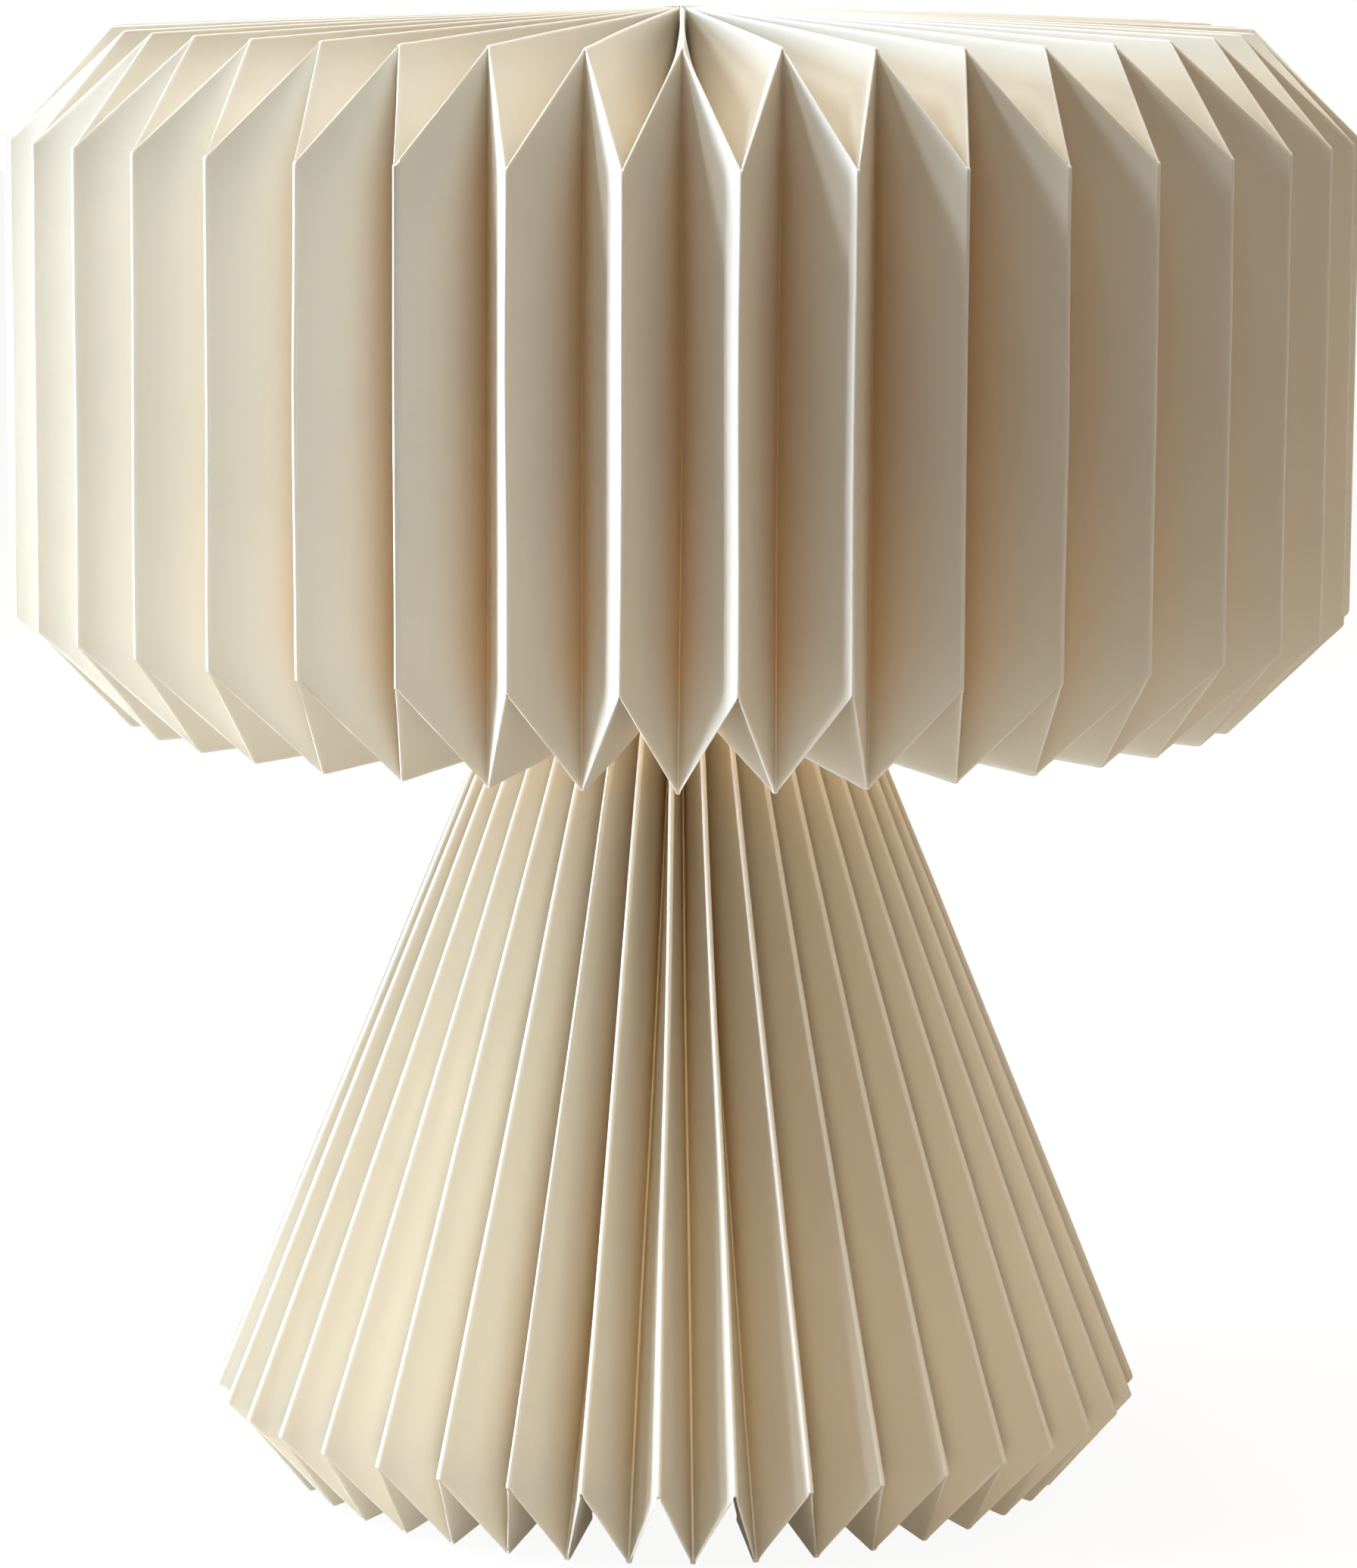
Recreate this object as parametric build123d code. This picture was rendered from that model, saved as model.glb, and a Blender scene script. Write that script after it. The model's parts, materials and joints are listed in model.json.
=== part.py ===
from build123d import *
import os
from dataclasses import dataclass
from enum import IntEnum
from math import asin, atan2, cos, hypot, pi, radians, sin, sqrt

# Pleated paper table lamp, in millimetres, +Z up. The origin is the centre of the foot on the table,
# and the front is -Y. A drum of pleated paper sits on a wire carrier round the bulb, above a cone of
# pleated paper that stands round a steel stem. Both paper pieces turn inwards at their shoulders by
# reverse folds: there every outward fold becomes an inward fold, and the tips between them point away.

# ---- paper ----
paper = 0.35                 # thickness of the sheet
blunt_limit = 0.9            # past this mitre height the outside of a fold is a flat as wide as the paper
seam_gap = 0.04              # between the cut edges of two sheets that meet on a fold
glue_gap = 0.05              # between glued faces
tab_width = 9.0              # glue tab of one sheet on the inside of the next
tab_inset = 4.0              # from the outer corners to the ends of a tab

# ---- shade ----
shade_pleats = 40
shade_turn = 0.0             # degrees that the front tip is turned about the axis
shade_seam_index = -5        # fold number, in half pleats from the front tip, where two sheets meet
shade_radius = 175.0         # to the outer corners
shade_pleat_depth = 27.0
shade_side = 124.0           # height of the outer folds between the two shoulders
shade_floor = 204.0          # height of the lower tips above the table
crown_rise = 5.0             # how much the upper folds climb from the tips to the gather
gather_radius = 6.0          # where all the upper pleats close up round the axis
mouth_radius = 62.0          # lower opening
mouth_rise = 3.0             # how much the lower folds climb from the tips to the mouth
crown_disc_radius = 22.0
crown_disc_thickness = 1.2
mouth_ring_wire = 2.5
mouth_ring_inset = 3.0       # from the mouth to the ring's centre line

# ---- sleeve (the pleated cone) ----
sleeve_pleats = 40
sleeve_turn = 2.6
sleeve_seam_index = -5
sleeve_panel = 28.7          # width of one flat panel between its two folds
sleeve_tip_radius = 103.0    # to the tips on the table
sleeve_height = 220.0        # from the tips to the cut upper edge
flange_width = 21.0          # from the tips in to the lower opening
flange_rise = 5.0            # how much the inward folds climb from the tips to the lower opening
foot_ring_wire = 3.0
foot_ring_inset = 3.5

# ---- foot and stem ----
pad_height = 3.0
pad_radius = 9.0
pad_count = 4
pad_circle = 40.0
plate_radius = 52.0
plate_thickness = 14.0
plate_edge = 1.5             # rounding of the plate's upper rim
nut_across_flats = 14.0
nut_height = 3.0
washer_radius = 10.0
washer_thickness = 1.0
nut_pocket_gap = 0.8         # round the washer, and from the nut down to the plate's underside
boss_radius = 13.0
boss_height = 12.0
inlet_radius = 4.0           # side hole of the boss, for the lead
bush_wall = 1.0
bush_flange = 1.6            # thickness of the bush's flange, and how far it stands past the hole
bush_fit = 0.02
rod_radius = 5.0             # hollow threaded rod through the whole stem
rod_wall = 1.4
rod_fit = 0.05               # radial clearance of everything on the rod
rod_end = 8.0                # how far the rod reaches into the lampholder
stem_wall = 0.9
stem_radius = 6.5
plug_radius = 10.4           # at its upper end; the sleeve's inner folds close in on it
plug_height = 13.0
plug_gap = 0.3               # between the plug and the inner folds of the sleeve
neck_plate_inset = 7.9       # from the sleeve's outer folds at the neck in to the plate's rim
neck_plate_thickness = 1.5

# ---- lampholder ----
holder_radius = 14.0
holder_wall = 1.5
cap_neck_radius = 8.0
cap_neck_height = 5.0
cap_dome_height = 9.0
cap_rim_height = 4.0
skirt_height = 30.0
ledge_width = 1.7            # ledge of the skirt under the core
ledge_thickness = 1.0
shelf_radius = 18.0          # shelf of the skirt that carries the wire carrier
shelf_thickness = 2.0
shelf_drop = 12.0            # from the skirt's mouth down to the shelf's upper face
clamp_radius = 19.5
clamp_height = 5.0
notch_count = 16             # finger notches round the clamp
notch_radius = 1.6
notch_offset = 1.0           # from the clamp's edge out to the middle of a notch
screw_fit = 0.1              # radial clearance between parts of the lampholder
core_floor = 5.0
socket_radius = 7.1          # inside of the brass shell
shell_wall = 0.35
shell_height = 20.0
contact_thickness = 0.4
contact_width = 5.0
contact_length = 12.0
terminal_side = 3.6
terminal_height = 6.0
terminal_offset = 6.0

# ---- wire carrier ----
carrier_wire = 2.5           # wire of the ring
carrier_radius = 50.0        # ring under the shade's inward folds
arm_wire = 2.2
carrier_arms = 3
carrier_first_arm = 90.0     # degrees from +X to the first arm
carrier_bend = 12.0
bead_radius = 1.7            # weld bead at the upper end of each arm
bead_drop = 0.6              # from the ring's centre line down to the middle of a bead
hub_margin = 0.7             # how far the hub reaches past the clamp
hub_thickness = 1.2
seat_gap = 0.3               # between the ring and the paper that rests on it

# ---- bulb ----
bulb_radius = 22.5
bulb_length = 78.0
bulb_glass_wall = 0.8
bulb_neck_radius = 7.6
bulb_neck_height = 4.0
bulb_fit = 0.08              # radial clearance of the bulb's cap in the brass shell
bulb_cap_height = 19.0
bulb_cap_wall = 0.4
bulb_cap_rim = 1.2
insulator_height = 3.0
tip_radius = 2.4
tip_height = 1.2
tip_gap = 0.3                # between the bulb's tip and the spring contact
mount_radius = 3.4
mount_height = 12.0
filament_count = 4
filament_radius = 0.9
filament_height = 24.0
filament_circle = 6.0
lead_wire = 0.6
weld_gap = 0.05              # between the leads and the filaments' ends

cut_margin = 1.0             # how far a cut reaches past the material
STAND = (Align.CENTER, Align.CENTER, Align.MIN)


# ---- small helpers ----
def post(radius, low, high):
    """Upright round bar between two heights."""
    return Pos(0, 0, low) * Cylinder(radius, high - low, align=STAND)


def tube(radius, bore, low, high):
    """Upright round tube between two heights."""
    return post(radius, low, high) - post(bore, low - cut_margin, high + cut_margin)


def turned(*points):
    """Solid turned about the axis from a closed outline of (radius, height) points."""
    outline = Plane.XZ * make_face(Polyline(*points, close=True))
    return revolve(outline, Axis.Z)


def wire_ring(radius, wire, height):
    """Closed ring of round wire."""
    return Pos(0, 0, height) * Torus(radius, wire / 2)


# ---- pleated paper ----
@dataclass
class Station:
    """Where both kinds of fold line pass one ring round the axis, as (radius, height).

    outer runs through the outer corners and inner through the tips. facing holds the directions, in the
    radial plane, that the outside of the paper looks in: two of them at a shoulder, one elsewhere."""
    outer: tuple
    inner: tuple
    facing: list


@dataclass
class Pleating:
    """A ring of pleats: its stations in order, how many pleats go round, and how far it is turned."""
    stations: list
    pleats: int
    turn: float

    def angle(self, fold):
        """Angle of a fold line. Even folds run through tips and odd folds through outer corners."""
        return radians(self.turn) + fold * pi / self.pleats

    def point(self, fold, radius, height, aside=0.0):
        """Point beside a fold line, at a radius and height in the fold's own radial plane."""
        turn = self.angle(fold)
        return (
            radius * sin(turn) + aside * cos(turn),
            -radius * cos(turn) + aside * sin(turn),
            height,
        )

    def skin(self, station, fold, side):
        """Radius, height and half width of the paper's outside (+1) or inside (-1) on a fold line."""
        here, there = (station.outer, station.inner) if fold % 2 else (station.inner, station.outer)
        half_pitch = pi / self.pleats
        across = there[0] * sin(half_pitch)
        reach = (there[0] * cos(half_pitch) - here[0], there[1] - here[1])
        shifts = []
        for out in station.facing:
            depth = reach[0] * out[0] + reach[1] * out[1]
            slant = hypot(across, depth)
            mitre = paper / 2 * slant / across
            convex = depth * side < 0
            if convex and mitre > blunt_limit and len(station.facing) == 1:
                lift = side * paper / 2 * across / slant
                half_width = paper / 2 * abs(depth) / slant
                return here[0] + lift * out[0], here[1] + lift * out[1], half_width
            shifts.append(side * mitre)
        if len(shifts) == 1:
            out = station.facing[0]
            return here[0] + shifts[0] * out[0], here[1] + shifts[0] * out[1], 0.0
        (a, b), (c, d) = station.facing
        spread = a * d - b * c
        radial = (shifts[0] * d - shifts[1] * b) / spread
        upward = (shifts[1] * a - shifts[0] * c) / spread
        return here[0] + radial, here[1] + upward, 0.0

    def seat(self, near, far, side, radius):
        """Height of the paper's skin on the outer folds at a radius between two stations."""
        low, high = (self.skin(self.stations[number], 1, side) for number in (near, far))
        return low[1] + (high[1] - low[1]) * (radius - low[0]) / (high[0] - low[0])

    def edges(self, number, fold, side, first, last):
        """The paper's left and right points on a fold line, which meet where the fold is sharp."""
        radius, height, half_width = self.skin(self.stations[number], fold, side)
        if fold == first:
            point = self.point(fold, radius, height, seam_gap / 2)
            return point, point
        if fold == last:
            point = self.point(fold, radius, height, -seam_gap / 2)
            return point, point
        return (
            self.point(fold, radius, height, -half_width),
            self.point(fold, radius, height, half_width),
        )

    def sheet(self, first, last):
        """One sheet of pleated paper from fold line to fold line, as a closed solid."""
        faces = []
        for side in (1, -1):
            for number in range(len(self.stations) - 1):
                for fold in range(first, last):
                    tip, corner = (fold, fold + 1) if fold % 2 == 0 else (fold + 1, fold)
                    hand = 1 if tip == fold else 0
                    low_tip = self.edges(number, tip, side, first, last)[hand]
                    top_tip = self.edges(number + 1, tip, side, first, last)[hand]
                    low_corner = self.edges(number, corner, side, first, last)[1 - hand]
                    top_corner = self.edges(number + 1, corner, side, first, last)[1 - hand]
                    faces += patch(low_tip, top_tip, top_corner, low_corner)
                for fold in range(first + 1, last):
                    low = self.edges(number, fold, side, first, last)
                    top = self.edges(number + 1, fold, side, first, last)
                    faces += patch(low[0], top[0], top[1], low[1])
        for number in (0, len(self.stations) - 1):
            for fold in range(first, last):
                near = [self.edges(number, fold, side, first, last)[1] for side in (1, -1)]
                far = [self.edges(number, fold + 1, side, first, last)[0] for side in (1, -1)]
                faces += patch(near[0], far[0], far[1], near[1])
            for fold in range(first + 1, last):
                outside = self.edges(number, fold, 1, first, last)
                inside = self.edges(number, fold, -1, first, last)
                faces += patch(outside[0], outside[1], inside[1], inside[0])
        for fold in (first, last):
            for number in range(len(self.stations) - 1):
                low = [self.edges(number, fold, side, first, last)[0] for side in (1, -1)]
                top = [self.edges(number + 1, fold, side, first, last)[0] for side in (1, -1)]
                faces += patch(low[0], top[0], top[1], low[1])
        return closed(faces)

    def tab(self, fold, stations):
        """Glue tab past a sheet's last fold, an outer one: it starts in the middle of the sheet's own
        last panel and lies on the inside of the next sheet's first panel."""
        rings = []
        for station in stations:
            out = station.facing[0]
            across = station.inner[0] * sin(pi / self.pleats)
            depth = (station.outer[0] - station.inner[0] * cos(pi / self.pleats)) * out[0]
            slant = hypot(across, depth)
            ring = []
            for lift in (-paper / 2 - glue_gap, -3 * paper / 2 - glue_gap):
                root = (lift * slant / (2 * across), lift * slant / (2 * depth))
                inward = (lift * across - tab_width * depth) / slant
                sideways = (lift * depth + tab_width * across) / slant
                for along, aside in (root, (inward, sideways)):
                    radius, height = station.outer[0] + along * out[0], station.outer[1] + along * out[1]
                    ring.append(self.point(fold, radius, height, aside))
            rings.append([ring[0], ring[1], ring[3], ring[2]])
        faces = [rings[0], rings[-1]]
        for low, top in zip(rings, rings[1:]):
            for corner in range(4):
                faces += patch(low[corner - 1], top[corner - 1], top[corner], low[corner])
        return closed(faces)


def closed(faces):
    """Solid inside the faces that these lists of points bound."""
    return Solid(Shell([Face(Wire.make_polygon(points)) for points in faces]))


def patch(a, b, c, d):
    """The face between four points: one where they are flat, two where they twist."""
    corners = []
    for point in (a, b, c, d):
        if all(distance(point, other) > 1e-6 for other in corners):
            corners.append(point)
    if len(corners) < 3:
        return []
    if len(corners) == 3 or flat(*corners):
        return [corners]
    return [[a, b, c], [a, c, d]]


def distance(a, b):
    """Distance between two points."""
    return hypot(a[0] - b[0], a[1] - b[1], a[2] - b[2])


def flat(a, b, c, d):
    """Whether four points lie in one plane."""
    u, v, w = (Vector(*p) - Vector(*a) for p in (b, c, d))
    return abs(u.cross(v).dot(w)) < 1e-6 * u.length * v.length * w.length


# ---- shade ----
shade_half_pitch = pi / shade_pleats
shade_tip_radius = shade_radius - shade_pleat_depth
shade_panel = hypot(
    shade_radius * sin(shade_half_pitch), shade_radius * cos(shade_half_pitch) - shade_tip_radius
)
lower_corner = shade_floor + shade_pleat_depth
upper_corner = lower_corner + shade_side
shade_top = upper_corner + shade_pleat_depth


def pleat_height(radius):
    """Height of a pleat of the shade that lies flat, where the panels close up towards the axis."""
    return sqrt(shade_panel ** 2 - (radius * sin(shade_half_pitch)) ** 2)


def crown_fold(radius):
    """Heights of the shade's upper folds at a radius: (through the tips, through the corners)."""
    high = shade_top + crown_rise * (shade_tip_radius - radius) / (shade_tip_radius - gather_radius)
    return high, high - pleat_height(radius)


def mouth_fold(radius):
    """Heights of the shade's lower folds at a radius: (through the tips, through the corners)."""
    low = shade_floor + mouth_rise * (shade_tip_radius - radius) / (shade_tip_radius - mouth_radius)
    return low, low + pleat_height(radius)


class Ring(IntEnum):
    """Numbers of the shade's stations that other pieces are seated at."""
    MOUTH = 0
    CARRIER = 5
    CLOSING = 6


def shade_pleating():
    """Pleats of the shade from the mouth round both shoulders to the gather."""
    out, up, down = (1.0, 0.0), (0.0, 1.0), (0.0, -1.0)
    stations = []
    for radius in (mouth_radius, (mouth_radius + shade_tip_radius) / 2):
        low, high = mouth_fold(radius)
        stations.append(Station((radius, high), (radius, low), [down]))
    stations.append(Station((shade_radius, lower_corner), (shade_tip_radius, shade_floor), [out, down]))
    stations.append(Station((shade_radius, upper_corner), (shade_tip_radius, shade_top), [out, up]))
    middle = (carrier_radius + shade_tip_radius) / 2
    near = (carrier_radius * gather_radius) ** 0.5
    for radius in (middle, carrier_radius, near, gather_radius):
        high, low = crown_fold(radius)
        stations.append(Station((radius, low), (radius, high), [up]))
    return Pleating(stations, shade_pleats, shade_turn)


def shade_sheets():
    """Two sheets of half the pleats each, cut and glued on a fold at the front left and at the back."""
    pleating = shade_pleating()
    ends = [
        Station((shade_radius, height), (shade_tip_radius, height), [(1.0, 0.0)])
        for height in (lower_corner + tab_inset, upper_corner - tab_inset)
    ]
    sheets = []
    for first in (shade_seam_index, shade_seam_index + shade_pleats):
        last = first + shade_pleats
        sheets.append(pleating.sheet(first, last) + pleating.tab(last, ends))
    return sheets


def crown_disc():
    """Card disc glued under the gather, which keeps the closed pleats together."""
    top = shade_pleating().seat(Ring.CARRIER, Ring.CLOSING, -1, crown_disc_radius) - glue_gap
    return tube(crown_disc_radius, gather_radius, top - crown_disc_thickness, top)


def mouth_ring():
    """Wire ring glued on the upward folds inside the mouth, which keeps the opening round."""
    radius = mouth_radius + mouth_ring_inset
    seats = [
        shade_pleating().seat(Ring.MOUTH, Ring.MOUTH + 1, -1, radius + side * mouth_ring_wire / 2)
        for side in (-1, 1)
    ]
    return wire_ring(radius, mouth_ring_wire, max(seats) + glue_gap + mouth_ring_wire / 2)


# ---- sleeve ----
sleeve_half_pitch = pi / sleeve_pleats
neck_fold_radius = plug_radius + plug_gap + paper / 2
sleeve_slope = (sleeve_tip_radius - neck_fold_radius) / sleeve_height
sleeve_facing = (1 / hypot(1, sleeve_slope), sleeve_slope / hypot(1, sleeve_slope))
flange_radius = sleeve_tip_radius - flange_width
flange_steepness = hypot(flange_width, flange_rise) / flange_width
flange_facing = (-flange_rise / hypot(flange_width, flange_rise), -1 / flange_steepness)


def sleeve_inner(height):
    """Radius of the sleeve's inner folds at a height above the tips."""
    return sleeve_tip_radius - height * sleeve_slope


def sleeve_outer(height):
    """Radius of the sleeve's outer folds at a height above the tips, where the panels keep their width."""
    across = (sleeve_inner(height) + sleeve_panel / 2) * sin(sleeve_half_pitch)
    return sleeve_inner(height) + sqrt(sleeve_panel ** 2 - across ** 2) / sleeve_facing[0]


def flange_fold(radius):
    """Heights of the folds that turn in under the sleeve: (through the tips, through the corners)."""
    climb = flange_rise * (sleeve_tip_radius - radius) / flange_width
    depth = sqrt(sleeve_panel ** 2 - (radius * sin(sleeve_half_pitch)) ** 2)
    return climb, climb + depth * flange_steepness


def sleeve_corner():
    """Radius and height of the outer corners, where the cone's outer folds meet those that turn in."""
    height = sleeve_panel
    while abs(flange_fold(sleeve_outer(height))[1] - height) > 1e-9:
        height = flange_fold(sleeve_outer(height))[1]
    return sleeve_outer(height), height


def sleeve_station(height):
    """Station on the cone."""
    return Station((sleeve_outer(height), height), (sleeve_inner(height), height), [sleeve_facing])


def sleeve_pleating():
    """Pleats of the sleeve from the lower opening round the shoulder and up the cone."""
    low, high = flange_fold(flange_radius)
    corner, tip = sleeve_corner(), (sleeve_tip_radius, 0.0)
    stations = [
        Station((flange_radius, high), (flange_radius, low), [flange_facing]),
        Station(corner, tip, [sleeve_facing, flange_facing]),
    ]
    for share in (0.35, 0.7, 1.0):
        stations.append(sleeve_station(corner[1] + (sleeve_height - corner[1]) * share))
    return Pleating(stations, sleeve_pleats, sleeve_turn)


def skin_heights(pleating, station):
    """Heights of the paper's two skins on a fold of each kind at one station."""
    return [pleating.skin(station, fold, side)[1] for fold in (0, 1) for side in (1, -1)]


sleeve_lift = -min(skin_heights(sleeve_pleating(), sleeve_pleating().stations[1]))
neck_top = sleeve_lift + max(skin_heights(sleeve_pleating(), sleeve_pleating().stations[-1]))


def sleeve_sheets():
    """Two sheets of half the pleats each, cut and glued on a fold at the front left and at the back.
    They are lifted so that the paper's own tips stand on the table."""
    pleating = sleeve_pleating()
    start = sleeve_station(sleeve_corner()[1] + tab_inset)
    sheets = []
    for first in (sleeve_seam_index, sleeve_seam_index + sleeve_pleats):
        last = first + sleeve_pleats
        tab = pleating.tab(last, [start] + pleating.stations[2:-1])
        sheets.append(Pos(0, 0, sleeve_lift) * (pleating.sheet(first, last) + tab))
    return sheets


def foot_ring():
    """Wire ring glued on the inward folds inside the foot of the sleeve."""
    radius = flange_radius + foot_ring_inset
    seat = sleeve_lift + sleeve_pleating().seat(0, 1, -1, radius - foot_ring_wire / 2)
    return wire_ring(radius, foot_ring_wire, seat + glue_gap + foot_ring_wire / 2)


# ---- foot and stem ----
plate_top = pad_height + plate_thickness
nut_low = pad_height + nut_pocket_gap
washer_low = nut_low + nut_height
pocket_top = washer_low + washer_thickness
boss_top = plate_top + boss_height
neck_seat = neck_top + glue_gap
plug_low = neck_seat - plug_height
neck_nut_low = neck_seat + neck_plate_thickness
holder_low = neck_nut_low + nut_height
rod_hole = rod_radius + rod_fit


def foot_pads():
    """Felt pads under the plate."""
    pads = PolarLocations(pad_circle, pad_count, start_angle=45)
    return Compound([spot * post(pad_radius, 0, pad_height) for spot in pads])


def foot_plate():
    """Heavy steel disc with a rounded upper rim and a pocket for the lower nut."""
    plate = post(plate_radius, pad_height, plate_top)
    plate = fillet(plate.edges().group_by(Axis.Z)[-1], plate_edge)
    pocket = post(washer_radius + nut_pocket_gap, pad_height - cut_margin, pocket_top)
    return plate - pocket - post(rod_hole, pad_height, plate_top + cut_margin)


def hexagon_nut(low):
    """Thin nut on the threaded rod."""
    nut = Pos(0, 0, low) * extrude(RegularPolygon(nut_across_flats / 2, 6, major_radius=False), nut_height)
    return nut - post(rod_hole, low - cut_margin, low + nut_height + cut_margin)


def foot_washer():
    """Washer between the lower nut and the plate."""
    return tube(washer_radius, rod_hole, washer_low, pocket_top)


def inlet_bar(radius, near, far):
    """Round bar along +Y at the height of the lead inlet."""
    bar = Plane.XZ.offset(-near) * Cylinder(radius, far - near, align=STAND)
    middle = plate_top + boss_height / 2
    return Pos(0, 0, middle) * mirror(bar, Plane.XZ.offset(-near))


def stem_boss():
    """Turned boss on the plate, with the side hole by which the lead comes in."""
    hole = inlet_bar(inlet_radius, 0, boss_radius + cut_margin)
    return tube(boss_radius, rod_hole, plate_top, boss_top) - hole


def inlet_bush():
    """Flanged bush in the side hole, which keeps the lead off the metal edge."""
    body = inlet_bar(inlet_radius - bush_fit, rod_hole + bush_wall, boss_radius + bush_flange)
    flange = inlet_bar(inlet_radius + bush_flange, boss_radius, boss_radius + bush_flange)
    bore = inlet_bar(inlet_radius - bush_wall, 0, boss_radius + bush_flange + cut_margin)
    return body + flange - bore


def stem_rod():
    """Hollow threaded rod that ties the plate, the boss, the tube and the lampholder together."""
    rod = tube(rod_radius, rod_radius - rod_wall, nut_low, holder_low + rod_end)
    return rod - inlet_bar(inlet_radius - bush_wall, 0, rod_radius + cut_margin)


def stem_tube():
    """Cover tube between the boss and the plug."""
    return tube(stem_radius, stem_radius - stem_wall, boss_top, plug_low)


def neck_plug():
    """Tapered plug that the sleeve's inner folds are glued round."""
    low, high = (
        sleeve_inner(height - sleeve_lift) - paper / 2 - plug_gap for height in (plug_low, neck_seat)
    )
    return turned((rod_hole, plug_low), (low, plug_low), (high, neck_seat), (rod_hole, neck_seat))


def neck_plate():
    """Steel disc on the upper edge of the sleeve."""
    radius = sleeve_outer(sleeve_height) - neck_plate_inset
    return tube(radius, rod_hole, neck_seat, neck_nut_low)


# ---- lampholder ----
cap_rim_low = holder_low + cap_neck_height + cap_dome_height
skirt_low = cap_rim_low + cap_rim_height
skirt_top = skirt_low + skirt_height
spigot_radius = holder_radius - holder_wall - screw_fit
core_radius = spigot_radius - holder_wall - screw_fit
core_low = cap_rim_low + ledge_thickness
socket_floor = core_low + core_floor
shelf_top = skirt_top - shelf_drop
collar_bore = holder_radius + screw_fit


def holder_cap():
    """Lower half of the lampholder: a threaded neck that swells into a dome and a short rim."""
    neck_top_z = holder_low + cap_neck_height
    inside = holder_radius - holder_wall
    outline = make_face([
        Line((rod_hole, holder_low), (cap_neck_radius, holder_low)),
        Line((cap_neck_radius, holder_low), (cap_neck_radius, neck_top_z)),
        ThreePointArc(
            (cap_neck_radius, neck_top_z),
            ((cap_neck_radius + holder_radius) / 2 + holder_wall, neck_top_z + cap_dome_height / 3),
            (holder_radius, cap_rim_low),
        ),
        Line((holder_radius, cap_rim_low), (holder_radius, skirt_low)),
        Line((holder_radius, skirt_low), (inside, skirt_low)),
        Line((inside, skirt_low), (inside, cap_rim_low)),
        Line((inside, cap_rim_low), (cap_neck_radius, neck_top_z + holder_wall)),
        Line((cap_neck_radius, neck_top_z + holder_wall), (rod_hole, neck_top_z)),
        Line((rod_hole, neck_top_z), (rod_hole, holder_low)),
    ])
    return revolve(Plane.XZ * outline, Axis.Z)


def holder_skirt():
    """Upper half of the lampholder: a spigot in the cap, a ledge for the core and a shelf outside."""
    inside = holder_radius - holder_wall
    return turned(
        (spigot_radius - holder_wall - ledge_width, cap_rim_low), (spigot_radius, cap_rim_low),
        (spigot_radius, skirt_low), (holder_radius, skirt_low),
        (holder_radius, shelf_top - shelf_thickness), (shelf_radius, shelf_top - shelf_thickness),
        (shelf_radius, shelf_top), (holder_radius, shelf_top),
        (holder_radius, skirt_top), (inside, skirt_top),
        (inside, skirt_low + holder_wall), (spigot_radius - holder_wall, skirt_low + holder_wall),
        (spigot_radius - holder_wall, core_low), (spigot_radius - holder_wall - ledge_width, core_low),
    )


def holder_core():
    """Insulating cup that holds the brass shell and the contact."""
    shell_radius = socket_radius + shell_wall
    core = post(core_radius, core_low, socket_floor + shell_height)
    return core - post(shell_radius, socket_floor, socket_floor + shell_height + cut_margin)


def holder_shell():
    """Brass shell that the bulb screws into."""
    return tube(socket_radius + shell_wall, socket_radius, socket_floor, socket_floor + shell_height)


def holder_contact():
    """Spring strip under the tip of the bulb."""
    return Pos(0, 0, socket_floor) * Box(contact_length, contact_width, contact_thickness, align=STAND)


def holder_terminals():
    """Two brass terminal blocks under the core."""
    block = Box(terminal_side, terminal_side, terminal_height, align=STAND)
    low = core_low - terminal_height
    return Compound([Pos(side * terminal_offset, 0, low) * block for side in (-1, 1)])


def clamp_ring():
    """Ring nut that clamps the carrier on the shelf, with notches for the fingers."""
    low = shelf_top + hub_thickness
    ring = tube(clamp_radius, collar_bore, low, low + clamp_height)
    notches = PolarLocations(clamp_radius + notch_offset, notch_count)
    notch = post(notch_radius, low - cut_margin, low + clamp_height + cut_margin)
    return ring - [spot * notch for spot in notches]


# ---- wire carrier ----
carrier_seat = shade_pleating().seat(Ring.CARRIER, Ring.CLOSING, -1, carrier_radius)
carrier_height = carrier_seat - seat_gap - carrier_wire / 2
hub_radius = clamp_radius + hub_margin


def shade_carrier():
    """Welded wire frame: a flat hub under the clamp, arms bent up past the bulb, and a ring on beads."""
    middle = shelf_top + hub_thickness / 2
    start = (hub_radius - hub_margin / 2, middle)
    end = (carrier_radius, carrier_height - bead_drop)
    path = Plane.XZ * FilletPolyline(start, (carrier_radius, middle), end, radius=carrier_bend)
    arm = sweep(Plane(path @ 0, z_dir=path % 0) * Circle(arm_wire / 2), path)
    arm += Pos(*(path @ 1)) * Sphere(bead_radius)
    hub = tube(hub_radius, collar_bore, shelf_top, shelf_top + hub_thickness)
    arms = [spot * arm for spot in PolarLocations(0, carrier_arms, start_angle=carrier_first_arm)]
    return hub + arms + wire_ring(carrier_radius, carrier_wire, carrier_height)


# ---- bulb ----
bulb_cap_radius = socket_radius - bulb_fit
bulb_low = socket_floor + contact_thickness + tip_gap
insulator_low = bulb_low + tip_height
bulb_cap_low = insulator_low + insulator_height
bulb_cap_top = bulb_cap_low + bulb_cap_height
bulb_middle = bulb_low + bulb_length - bulb_radius
mount_top = bulb_cap_top + mount_height
filament_low = bulb_middle - filament_height / 2


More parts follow.
